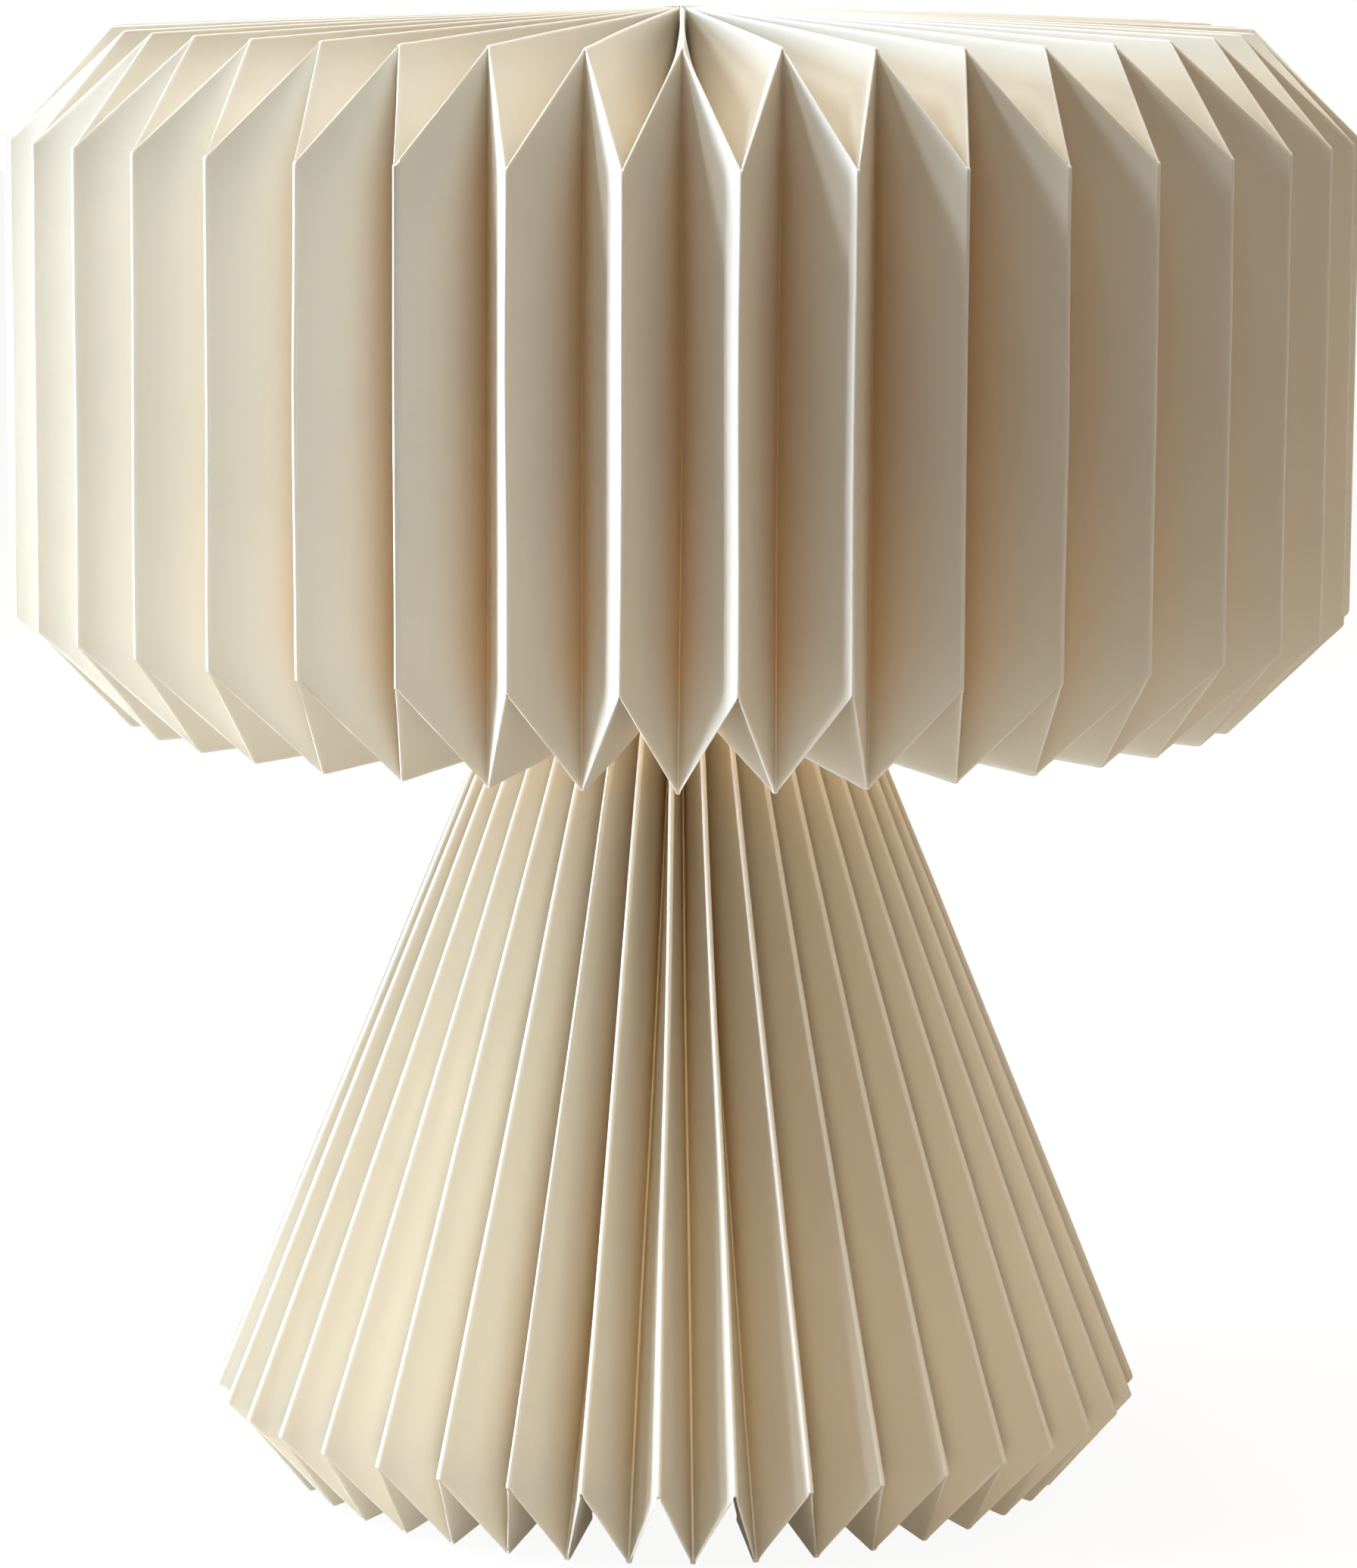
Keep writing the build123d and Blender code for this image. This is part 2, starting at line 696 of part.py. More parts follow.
def globe(inset):
    """Solid inside of the bulb's glass: a ball that runs into the neck along tangent lines."""
    radius = bulb_radius - inset
    neck = (bulb_neck_radius - inset, bulb_cap_top + bulb_neck_height)
    reach = hypot(neck[0], bulb_middle - neck[1])
    lean = atan2(bulb_middle - neck[1], -neck[0]) - asin(radius / reach)
    length = sqrt(reach ** 2 - radius ** 2)
    touch = (neck[0] + length * cos(lean), neck[1] + length * sin(lean))
    side = (radius * cos(pi / 6), bulb_middle + radius * sin(pi / 6))
    top = (0, bulb_middle + radius)
    outline = make_face([
        Line((0, bulb_cap_top), (neck[0], bulb_cap_top)), Line((neck[0], bulb_cap_top), neck),
        Line(neck, touch), ThreePointArc(touch, side, top), Line(top, (0, bulb_cap_top)),
    ])
    return revolve(Plane.XZ * outline, Axis.Z)


def bulb_glass():
    """Hollow glass of the bulb, open at the neck."""
    return globe(0) - globe(bulb_glass_wall)


def bulb_cap():
    """Metal screw cap of the bulb, with a rim under the glass."""
    inside = bulb_cap_radius - bulb_cap_wall
    return turned(
        (inside, bulb_cap_low), (bulb_cap_radius, bulb_cap_low),
        (bulb_cap_radius, bulb_cap_top - bulb_cap_rim), (bulb_neck_radius, bulb_cap_top - bulb_cap_rim),
        (bulb_neck_radius, bulb_cap_top), (mount_radius, bulb_cap_top),
        (mount_radius, bulb_cap_top - bulb_cap_wall), (inside, bulb_cap_top - bulb_cap_rim),
    )


def bulb_insulator():
    """Black glass cone between the cap and the tip."""
    return turned((0, insulator_low), (tip_radius, insulator_low), (bulb_cap_radius, bulb_cap_low),
                  (0, bulb_cap_low))


def bulb_tip():
    """Solder tip of the bulb."""
    return post(tip_radius, bulb_low, insulator_low)


def bulb_mount():
    """Glass stem inside the bulb that carries the leads."""
    return post(mount_radius, bulb_cap_low, mount_top)


def bulb_filaments():
    """Upright filaments round the axis."""
    spots = PolarLocations(filament_circle, filament_count, start_angle=45)
    stick = post(filament_radius, filament_low, filament_low + filament_height)
    return Compound([spot * stick for spot in spots])


def bulb_leads():
    """Centre wire on the mount, with a spoke to each end of each filament."""
    low = filament_low - weld_gap - lead_wire / 2
    high = filament_low + filament_height + weld_gap + lead_wire / 2
    wire = post(lead_wire, mount_top, high + lead_wire)
    spoke = Rot(0, 90, 0) * Cylinder(lead_wire / 2, filament_circle + filament_radius, align=STAND)
    for number in range(filament_count):
        turn = Rot(0, 0, 45 + number * 360 / filament_count)
        wire += [turn * (Pos(0, 0, height) * spoke) for height in (low, high)]
    return wire


def lamp():
    """All pieces by name."""
    sleeve_right, sleeve_left = sleeve_sheets()
    shade_right, shade_left = shade_sheets()
    return {
        "foot_pads": foot_pads(),
        "foot_plate": foot_plate(),
        "foot_nut": hexagon_nut(nut_low),
        "foot_washer": foot_washer(),
        "stem_boss": stem_boss(),
        "inlet_bush": inlet_bush(),
        "stem_rod": stem_rod(),
        "stem_tube": stem_tube(),
        "neck_plug": neck_plug(),
        "neck_plate": neck_plate(),
        "neck_nut": hexagon_nut(neck_nut_low),
        "sleeve_sheet_right": sleeve_right,
        "sleeve_sheet_left": sleeve_left,
        "foot_ring": foot_ring(),
        "holder_cap": holder_cap(),
        "holder_skirt": holder_skirt(),
        "holder_core": holder_core(),
        "holder_shell": holder_shell(),
        "holder_contact": holder_contact(),
        "holder_terminals": holder_terminals(),
        "clamp_ring": clamp_ring(),
        "shade_carrier": shade_carrier(),
        "bulb_glass": bulb_glass(),
        "bulb_cap": bulb_cap(),
        "bulb_insulator": bulb_insulator(),
        "bulb_tip": bulb_tip(),
        "bulb_mount": bulb_mount(),
        "bulb_filaments": bulb_filaments(),
        "bulb_leads": bulb_leads(),
        "shade_sheet_right": shade_right,
        "shade_sheet_left": shade_left,
        "mouth_ring": mouth_ring(),
        "crown_disc": crown_disc(),
    }


os.makedirs("parts", exist_ok=True)
for name, piece in lamp().items():
    export_step(piece, f"parts/{name}.step")
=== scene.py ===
import json
import logging
import math
from dataclasses import dataclass
from enum import Enum
from functools import cache

import bpy
import numpy as np
from mathutils import Matrix, Vector, noise


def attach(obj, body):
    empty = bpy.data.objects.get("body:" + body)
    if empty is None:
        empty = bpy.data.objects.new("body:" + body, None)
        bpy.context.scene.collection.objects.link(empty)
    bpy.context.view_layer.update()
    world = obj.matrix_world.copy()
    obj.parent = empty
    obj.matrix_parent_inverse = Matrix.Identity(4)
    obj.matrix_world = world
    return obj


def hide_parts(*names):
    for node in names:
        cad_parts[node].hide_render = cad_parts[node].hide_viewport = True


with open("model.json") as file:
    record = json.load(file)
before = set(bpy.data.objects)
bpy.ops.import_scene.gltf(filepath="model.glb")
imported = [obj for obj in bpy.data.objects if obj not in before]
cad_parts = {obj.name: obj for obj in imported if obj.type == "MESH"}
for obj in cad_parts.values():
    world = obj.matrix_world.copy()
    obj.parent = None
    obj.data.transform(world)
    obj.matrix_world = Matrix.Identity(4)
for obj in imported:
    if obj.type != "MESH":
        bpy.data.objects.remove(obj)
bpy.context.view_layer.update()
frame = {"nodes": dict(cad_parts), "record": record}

MM = 0.001
MIX_COLOURS, MIX_RESULT = (6, 7), 2  # a Mix node's sockets for colours
EVEN = (1.0, 1.0, 1.0)
WHITE = (1.0, 1.0, 1.0, 1.0)
SMOOTH_ANGLE = math.radians(50)
NOISE_STEPS = (2.37, 9.0, 17.3, 5.1)  # how far folds, places and movements lie apart in the noise
NOISE_GAIN = 1.6
Colour = tuple[float, float, float]
log = logging.getLogger("paper_lamp")


class Body(Enum):
    """The bodies of the frame that new pieces ride on."""

    STAND = "stand"
    SHADE = "shade"


class Wander(Enum):
    """The small movements of a hand-folded sheet, each with its own noise."""

    ASIDE = 0.0
    INWARD = 1.0
    HEIGHT = 2.0
    BOW = 3.0
    EDGE = 4.0


# ---- node trees ----
class Tree:
    """Adds nodes to a shader tree and joins them."""

    def __init__(self, tree: bpy.types.NodeTree) -> None:
        """Takes the tree to fill."""
        self.tree = tree

    def add(self, kind: str, inputs: dict | None = None, **settings: object) -> bpy.types.Node:
        """Adds one node.

        Args:
            kind: the node's type, without the leading ShaderNode.
            inputs: for each input socket, by name or number, a value or the socket that feeds it.
            settings: the node's own properties.

        Returns:
            The new node.
        """
        node = self.tree.nodes.new("ShaderNode" + kind)
        for name, value in settings.items():
            setattr(node, name, value)
        for name, value in (inputs or {}).items():
            self.feed(node.inputs[name], value)
        return node

    def feed(self, socket: bpy.types.NodeSocket, value: object) -> None:
        """Gives an input its value, or joins it to the socket that feeds it.

        Args:
            socket: the input.
            value: a plain value or an output socket.
        """
        if isinstance(value, bpy.types.NodeSocket):
            self.tree.links.new(value, socket)
        else:
            socket.default_value = value

    def math(self, operation: str, *values: object) -> bpy.types.NodeSocket:
        """Works out one sum from numbers and sockets.

        Args:
            operation: the Math node's operation.
            values: its inputs in order.

        Returns:
            The result's socket.
        """
        return self.add("Math", dict(enumerate(values)), operation=operation).outputs[0]

    def ramp(self, value: object, low: object, high: object, start: float = 0.0,
             end: float = 1.0, course: str = "SMOOTHSTEP") -> bpy.types.NodeSocket:
        """Maps a value from one range to another.

        Args:
            value: the socket to map.
            low: the value that gives start.
            high: the value that gives end.
            start: the result at low.
            end: the result at high.
            course: how it runs from start to end.

        Returns:
            The mapped socket.
        """
        inputs = dict(enumerate((value, low, high, start, end)))
        return self.add("MapRange", inputs, interpolation_type=course).outputs[0]

    def mix(self, share: object, first: object, second: object) -> bpy.types.NodeSocket:
        """Mixes two colours.

        Args:
            share: how much of the second one there is.
            first: a colour or socket.
            second: a colour or socket.

        Returns:
            The mixed colour's socket.
        """
        node = self.add("Mix", {0: share}, data_type="RGBA")
        for number, colour in zip(MIX_COLOURS, (first, second)):
            joined = isinstance(colour, bpy.types.NodeSocket)
            self.feed(node.inputs[number], colour if joined else (*colour, 1.0))
        return node.outputs[MIX_RESULT]

    def group(self, group: bpy.types.NodeTree, **inputs: object) -> bpy.types.NodeSocket:
        """Places a shared effect.

        Args:
            group: the effect's node group.
            inputs: its input values or sockets by name.

        Returns:
            The effect's output.
        """
        return self.add("Group", inputs, node_tree=group).outputs[0]

    def show(self, output: str, share: object, first: bpy.types.Node,
             second: bpy.types.Node) -> None:
        """Mixes two shaders and shows them.

        Args:
            output: the name of the tree's output node.
            share: how much of the second one there is.
            first: a shader.
            second: a shader.
        """
        mixed = self.add("MixShader", {0: share, 1: first.outputs[0], 2: second.outputs[0]})
        self.feed(self.tree.nodes[output].inputs["Surface"], mixed.outputs[0])


def new_group(name: str, inputs: dict[str, str],
              outputs: dict[str, str]) -> tuple[Tree, dict, dict]:
    """Starts a shared effect.

    Args:
        name: the group's name.
        inputs: kind of each input by name, Float, Vector or Color.
        outputs: the same for its outputs.

    Returns:
        The group's tree, its input sockets and its output sockets by name.
    """
    group = bpy.data.node_groups.new(name, "ShaderNodeTree")
    for way, sockets in (("INPUT", inputs), ("OUTPUT", outputs)):
        for label, kind in sockets.items():
            group.interface.new_socket(label, in_out=way, socket_type="NodeSocket" + kind)
    start, end = group.nodes.new("NodeGroupInput"), group.nodes.new("NodeGroupOutput")
    taken = {label: start.outputs[label] for label in inputs}
    given = {label: end.inputs[label] for label in outputs}
    return Tree(group), taken, given


@cache
def grain_group() -> bpy.types.NodeTree:
    """Fine grain: noise at one scale, squeezed along each axis by Stretch, as a height."""
    tree, taken, given = new_group(
        "fine_grain", {"Vector": "Vector", "Stretch": "Vector", "Scale": "Float"},
        {"Height": "Float"})
    drawn = tree.add("VectorMath", {0: taken["Vector"], 1: taken["Stretch"]}, operation="MULTIPLY")
    cloud = tree.add("TexNoise", {"Vector": drawn.outputs[0], "Scale": taken["Scale"],
                                  "Detail": 4.0, "Roughness": 0.6})
    tree.feed(given["Height"], cloud.outputs["Fac"])
    return tree.tree


@cache
def fleck_group() -> bpy.types.NodeTree:
    """Sparse round flecks: a mask of spots of one size in a share of the cells."""
    tree, taken, given = new_group(
        "sparse_flecks",
        {"Vector": "Vector", "Scale": "Float", "Size": "Float", "Share": "Float"},
        {"Mask": "Float"})
    cells = tree.add("TexVoronoi", {"Vector": taken["Vector"], "Scale": taken["Scale"]})
    chance = tree.add("SeparateColor", {0: cells.outputs["Color"]}).outputs[0]
    picked = tree.math("LESS_THAN", chance, taken["Share"])
    inner = tree.math("MULTIPLY", taken["Size"], 0.4)
    spot = tree.ramp(cells.outputs["Distance"], inner, taken["Size"], 1.0, 0.0, "LINEAR")
    tree.feed(given["Mask"], tree.math("MULTIPLY", spot, picked))
    return tree.tree


@cache
def edge_wear_group() -> bpy.types.NodeTree:
    """Wear along an edge: a mask that falls off with the distance from it, broken up by noise."""
    tree, taken, given = new_group(
        "edge_wear", {"Vector": "Vector", "Distance": "Float", "Width": "Float"},
        {"Mask": "Float"})
    near = tree.ramp(taken["Distance"], 0.0, taken["Width"], 1.0, 0.0)
    rub = tree.add("TexNoise", {"Vector": taken["Vector"], "Scale": 420.0, "Detail": 2.0})
    broken = tree.ramp(rub.outputs["Fac"], 0.25, 0.6, 0.45, 1.0)
    tree.feed(given["Mask"], tree.math("MULTIPLY", near, broken))
    return tree.tree


@cache
def mottle_group() -> bpy.types.NodeTree:
    """Slow change of tone: the same colour, a little darker or lighter in patches."""
    tree, taken, given = new_group(
        "tone_mottle",
        {"Vector": "Vector", "Scale": "Float", "Depth": "Float", "Color": "Color"},
        {"Color": "Color"})
    cloud = tree.add("TexNoise", {"Vector": taken["Vector"], "Scale": taken["Scale"],
                                  "Detail": 3.0})
    level = tree.math("SUBTRACT", cloud.outputs["Fac"], 0.5)
    level = tree.math("MULTIPLY_ADD", level, taken["Depth"], 1.0)
    shaded = tree.add("VectorMath", {0: taken["Color"], "Scale": level}, operation="SCALE")
    tree.feed(given["Color"], shaded.outputs[0])
    return tree.tree


# ---- finishes ----
@dataclass(frozen=True)
class Finish:
    """A finish with a name, a colour and a roughness; each kind adds its own marks."""

    name: str
    colour: Colour
    roughness: float = 0.6

    def start(self) -> tuple[bpy.types.Material, Tree, bpy.types.NodeInputs, bpy.types.NodeSocket]:
        """Starts the material.

        Returns:
            The material, its tree, its surface shader's inputs and the object coordinates.
        """
        material = bpy.data.materials.new(self.name)
        material.use_nodes = True
        tree = Tree(material.node_tree)
        surface = material.node_tree.nodes["Principled BSDF"].inputs
        surface["Roughness"].default_value = self.roughness
        surface["Base Color"].default_value = (*self.colour, 1.0)
        place = tree.add("TexCoord").outputs["Object"]
        return material, tree, surface, place

    def relief(self, tree: Tree, surface: bpy.types.NodeInputs, height: bpy.types.NodeSocket,
               depth: float, strength: float) -> None:
        """Raises the surface by a height map.

        Args:
            tree: the material's tree.
            surface: its shader's inputs.
            height: the height from 0 to 1.
            depth: how far 1 stands up, in metres.
            strength: how much of it shows.
        """
        bump = tree.add("Bump", {"Height": height, "Distance": depth, "Strength": strength})
        tree.feed(surface["Normal"], bump.outputs[0])

    def build(self) -> bpy.types.Material:
        """Makes the material.

        Returns:
            The finished material.
        """
        raise NotImplementedError


@dataclass(frozen=True)
class PaperFinish(Finish):
    """Heavy uncoated paper: fibres, flecks, rubbed folds, and painted warm shade deep in the folds.
    """

    # painted shade: the warm colour the paper turns to deep in its folds, in place of light bounced
    # there
    fold_shade: Colour = (0.93, 0.68, 0.36)
    worn: Colour = (0.93, 0.915, 0.88)
    fleck: Colour = (0.34, 0.20, 0.10)
    through: Colour = (1.0, 0.86, 0.60)
    # painted shade: the light through the paper turns warmer deep in the folds
    through_fold_shade: Colour = (1.0, 0.74, 0.38)
    thinness: float = 0.24
    gloss: float = 0.25
    mottle: float = 0.07
    patches: float = 16.0
    wear_width: float = 1.3 * MM
    fleck_cells: float = 45.0
    fleck_size: float = 0.022
    fleck_share: float = 0.07
    fleck_strength: float = 0.75
    fibres: float = 1500.0
    fibre_stretch: Colour = (1.0, 1.0, 0.35)
    clouds: float = 260.0
    cloud_share: float = 0.6
    grain_depth: float = 0.05 * MM
    grain_strength: float = 0.55
    unevenness: float = 0.06

    def build(self) -> bpy.types.Material:
        """Makes the paper, which reads the painted fold shade and how near a fold each point is."""
        material, tree, surface, place = self.start()
        surface["Specular IOR Level"].default_value = self.gloss
        painted_shade = tree.add("Attribute", attribute_name="painted_shade").outputs["Fac"]
        crease = tree.add("Attribute", attribute_name="crease").outputs["Fac"]
        tone = tree.group(mottle_group(), Vector=place, Scale=self.patches, Depth=self.mottle,
                          Color=(*self.colour, 1.0))
        # painted shade: the base colour turns warm and darker deep in the folds
        tone = tree.mix(tree.ramp(painted_shade, 0.0, 1.0), tone, self.fold_shade)
        wear = tree.group(edge_wear_group(), Vector=place, Distance=crease, Width=self.wear_width)
        outside = tree.ramp(painted_shade, 0.05, 0.3, 1.0, 0.0)
        tone = tree.mix(tree.math("MULTIPLY", wear, outside), tone, self.worn)
        specks = tree.group(fleck_group(), Vector=place, Scale=self.fleck_cells,
                            Size=self.fleck_size, Share=self.fleck_share)
        tone = tree.mix(tree.math("MULTIPLY", specks, self.fleck_strength), tone, self.fleck)
        tree.feed(surface["Base Color"], tone)
        fibre = tree.group(grain_group(), Vector=place, Stretch=self.fibre_stretch,
                           Scale=self.fibres)
        cloud = tree.group(grain_group(), Vector=place, Stretch=EVEN, Scale=self.clouds)
        height = tree.math("MULTIPLY_ADD", cloud, self.cloud_share, fibre)
        self.relief(tree, surface, height, self.grain_depth, self.grain_strength)
        tree.feed(surface["Roughness"], tree.ramp(fibre, 0.2, 0.8, self.roughness - self.unevenness,
                                                  self.roughness + self.unevenness))
        front = material.node_tree.nodes["Principled BSDF"]
        # painted shade: the colour of the light through the paper is made warmer deep in the folds
        behind = tree.add("BsdfTranslucent",
                          {"Color": tree.mix(painted_shade, self.through, self.through_fold_shade)})
        tree.show("Material Output", self.thinness, front, behind)
        return material


@dataclass(frozen=True)
class GrainFinish(Finish):
    """Plastic, card, felt, ceramic or powder coat: one grain, a mottled tone and flecks."""

    grain: float = 900.0
    depth: float = 0.03 * MM
    strength: float = 0.7
    mottle: float = 0.08
    patches: float = 40.0
    second: Colour = (0.5, 0.5, 0.5)
    second_share: float = 0.0
    gloss: float = 0.5
    coat: float = 0.0
    unevenness: float = 0.05

    def build(self) -> bpy.types.Material:
        """Makes the material."""
        material, tree, surface, place = self.start()
        surface["Specular IOR Level"].default_value = self.gloss
        surface["Coat Weight"].default_value = self.coat
        tone = tree.group(mottle_group(), Vector=place, Scale=self.patches, Depth=self.mottle,
                          Color=(*self.colour, 1.0))
        grain = tree.group(grain_group(), Vector=place, Stretch=EVEN, Scale=self.grain)
        if self.second_share:
            flecks = tree.ramp(grain, 0.62, 0.66, 0.0, self.second_share)
            tone = tree.mix(flecks, tone, self.second)
        tree.feed(surface["Base Color"], tone)
        tree.feed(surface["Roughness"], tree.ramp(grain, 0.3, 0.7, self.roughness - self.unevenness,
                                                  self.roughness + self.unevenness))
        self.relief(tree, surface, grain, self.depth, self.strength)
        return material


@dataclass(frozen=True)
class MetalFinish(Finish):
    """Bare or plated metal, with fine lines drawn out along one axis and a stained tone."""

    stretch: Colour = EVEN
    lines: float = 900.0
    stains: float = 90.0
    tarnish: Colour = (0.35, 0.30, 0.24)
    tarnish_share: float = 0.25
    depth: float = 0.02 * MM
    strength: float = 0.5

    def build(self) -> bpy.types.Material:
        """Makes the material."""
        material, tree, surface, place = self.start()
        surface["Metallic"].default_value = 1.0
        lines = tree.group(grain_group(), Vector=place, Stretch=self.stretch, Scale=self.lines)
        stain = tree.group(grain_group(), Vector=place, Stretch=EVEN, Scale=self.stains)
        share = tree.ramp(stain, 0.45, 0.75, 0.0, self.tarnish_share)
        tree.feed(surface["Base Color"], tree.mix(share, self.colour, self.tarnish))
        tree.feed(surface["Roughness"],
                  tree.ramp(lines, 0.3, 0.7, self.roughness - 0.08, self.roughness + 0.1))
        self.relief(tree, surface, lines, self.depth, self.strength)
        return material


@dataclass(frozen=True)
class WoodFinish(Finish):
    """Bare turned wood, with bands of growth rings and fine pores."""

    dark: Colour = (0.50, 0.32, 0.17)
    rings: float = 55.0
    pores: float = 1400.0
    pore_stretch: Colour = (1.0, 1.0, 0.06)
    depth: float = 0.04 * MM
    strength: float = 0.5

    def build(self) -> bpy.types.Material:
        """Makes the material."""
        material, tree, surface, place = self.start()
        rings = tree.add("TexWave", {"Vector": place, "Scale": self.rings, "Distortion": 2.5,
                                     "Detail": 2.0},
                         wave_type="BANDS", bands_direction="X").outputs["Fac"]
        pores = tree.group(grain_group(), Vector=place, Stretch=self.pore_stretch,
                           Scale=self.pores)
        tone = tree.mix(tree.ramp(rings, 0.2, 0.95, 0.0, 0.4), self.colour, self.dark)
        tone = tree.mix(tree.ramp(pores, 0.58, 0.7, 0.0, 0.5), tone, self.dark)
        tree.feed(surface["Base Color"], tone)
        self.relief(tree, surface, pores, self.depth, self.strength)
        return material


@dataclass(frozen=True)
class GlassFinish(Finish):
    """Clear blown glass with faint waves and a little dust in its roughness."""

    bending: float = 1.45
    waves: float = 60.0
    wave_stretch: Colour = (1.0, 1.0, 0.5)
    wave_depth: float = 0.05 * MM
    wave_strength: float = 0.3
    dust: float = 500.0
    dust_roughness: float = 0.08

    def build(self) -> bpy.types.Material:
        """Makes the material."""
        material, tree, surface, place = self.start()
        surface["Transmission Weight"].default_value = 1.0
        surface["IOR"].default_value = self.bending
        waves = tree.group(grain_group(), Vector=place, Stretch=self.wave_stretch,
                           Scale=self.waves)
        dust = tree.group(grain_group(), Vector=place, Stretch=EVEN, Scale=self.dust)
        tree.feed(surface["Roughness"], tree.ramp(dust, 0.45, 0.8, self.roughness,
                                                  self.roughness + self.dust_roughness))
        self.relief(tree, surface, waves, self.wave_depth, self.wave_strength)
        return material


FINISHES: dict[str, Finish] = {finish.name: finish for finish in (
    PaperFinish("ivory_paper", (0.90, 0.865, 0.775), 0.78),
    # the sleeve's paper, with stronger painted warm shade in its folds and in the light through
    # them
    PaperFinish("sleeve_paper", (0.90, 0.865, 0.775), 0.78, fold_shade=(1.0, 0.80, 0.46),
                through=(1.0, 0.91, 0.74), through_fold_shade=(1.0, 0.80, 0.45), thinness=0.32),
    GrainFinish("card", (0.74, 0.69, 0.60), 0.85, grain=700.0, second=(0.55, 0.47, 0.36),
                second_share=0.4, gloss=0.2),
    GrainFinish("felt", (0.085, 0.085, 0.09), 0.95, grain=1600.0, depth=0.25 * MM, mottle=0.3,
                second=(0.16, 0.16, 0.17), second_share=0.7, gloss=0.1),
    GrainFinish("plate_steel", (0.80, 0.79, 0.76), 0.45, grain=1200.0, depth=0.04 * MM),
    MetalFinish("zinc_steel", (0.62, 0.62, 0.60), 0.34, stretch=(1.0, 1.0, 6.0)),
    GrainFinish("white_metal", (0.84, 0.83, 0.80), 0.42, grain=1500.0),
    GrainFinish("white_wire", (0.86, 0.85, 0.82), 0.4, grain=1100.0, coat=0.2),
    WoodFinish("beech", (0.70, 0.52, 0.33), 0.6),
    GrainFinish("bush_plastic", (0.85, 0.84, 0.80), 0.5, grain=1400.0),
    GrainFinish("holder_plastic", (0.83, 0.82, 0.79), 0.48, grain=1300.0, depth=0.05 * MM),
    GrainFinish("core_ceramic", (0.87, 0.86, 0.82), 0.55, grain=600.0, second=(0.62, 0.60, 0.55),
                second_share=0.25),
    MetalFinish("brass", (0.80, 0.60, 0.28), 0.28, stretch=(1.0, 1.0, 5.0),
                tarnish=(0.42, 0.27, 0.12)),
    GlassFinish("bulb_glass", (0.99, 0.99, 0.985), 0.0),
    GlassFinish("mount_glass", (0.95, 0.96, 0.96), 0.05),
    MetalFinish("cap_metal", (0.72, 0.71, 0.68), 0.25, stretch=(1.0, 1.0, 7.0), tarnish_share=0.15),
    GrainFinish("black_glass", (0.02, 0.02, 0.024), 0.2, grain=300.0, coat=0.5),
    MetalFinish("solder", (0.60, 0.60, 0.60), 0.45, lines=400.0),
    GrainFinish("filament", (0.90, 0.66, 0.16), 0.6, grain=1800.0, mottle=0.2),
    MetalFinish("lead_wire", (0.55, 0.53, 0.50), 0.35),
)}


@cache
def material(slot: str) -> bpy.types.Material:
    """Gives the material of a slot.

    Args:
        slot: the record's material slot.

    Returns:
        The finish, made once.
    """
    return FINISHES[slot].build()


# ---- modelling by hand ----
def alone() -> None:
    """Deselects everything, so that a new piece is the only one worked on."""
    if bpy.context.object and bpy.context.object.mode != "OBJECT":
        bpy.ops.object.mode_set(mode="OBJECT")
    bpy.ops.object.select_all(action="DESELECT")


def only(piece: bpy.types.Object) -> None:
    """Selects one piece and makes it the one worked on."""
    alone()
    piece.select_set(True)
    bpy.context.view_layer.objects.active = piece


def unit(way: np.ndarray) -> np.ndarray:
    """Gives the direction of a vector, one long."""
    return way / np.linalg.norm(way)


def modify(piece: bpy.types.Object, kind: str, **settings: object) -> None:
    """Adds one modifier to a piece and applies it.

    Args:
        piece: the mesh object.
        kind: the modifier's type.
        settings: its properties.
    """
    only(piece)
    bpy.ops.object.modifier_add(type=kind)
    modifier = piece.modifiers[-1]
    for name, value in settings.items():
        setattr(modifier, name, value)
    bpy.ops.object.modifier_apply(modifier=modifier.name)


def finish_piece(piece: bpy.types.Object, name: str, body: Body, slot: str,
                 replaced: tuple[str, ...] = (), finish: str | None = None) -> None:
    """Names a piece, gives it its material and lets it ride on its body.

    Args:
        piece: the mesh object.
        name: its new name.
        body: the CAD body that it moves with.
        slot: the record's material slot.
        replaced: the CAD nodes that it stands for.
        finish: its finish, where the slot has more than one.
    """
    piece.name = name
    piece.data.name = name
    piece.data.materials.clear()
    piece.data.materials.append(material(finish or slot))
    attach(piece, body.value)
    if replaced:
        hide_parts(*replaced)
    log.info("%s: %d faces on %s", name, len(piece.data.polygons), body.value)


# ---- pleated paper ----
@dataclass(frozen=True)
class Station:
    """Where the two kinds of fold pass one ring round the axis, as (radius, height) in metres.

    After it the mesh has rows steps, and depth scales the painted warm shade in its grooves.
    """

    outer: tuple[float, float]
    inner: tuple[float, float]
    shoulder: bool = False
    rows: int = 6
    depth: float = 1.0


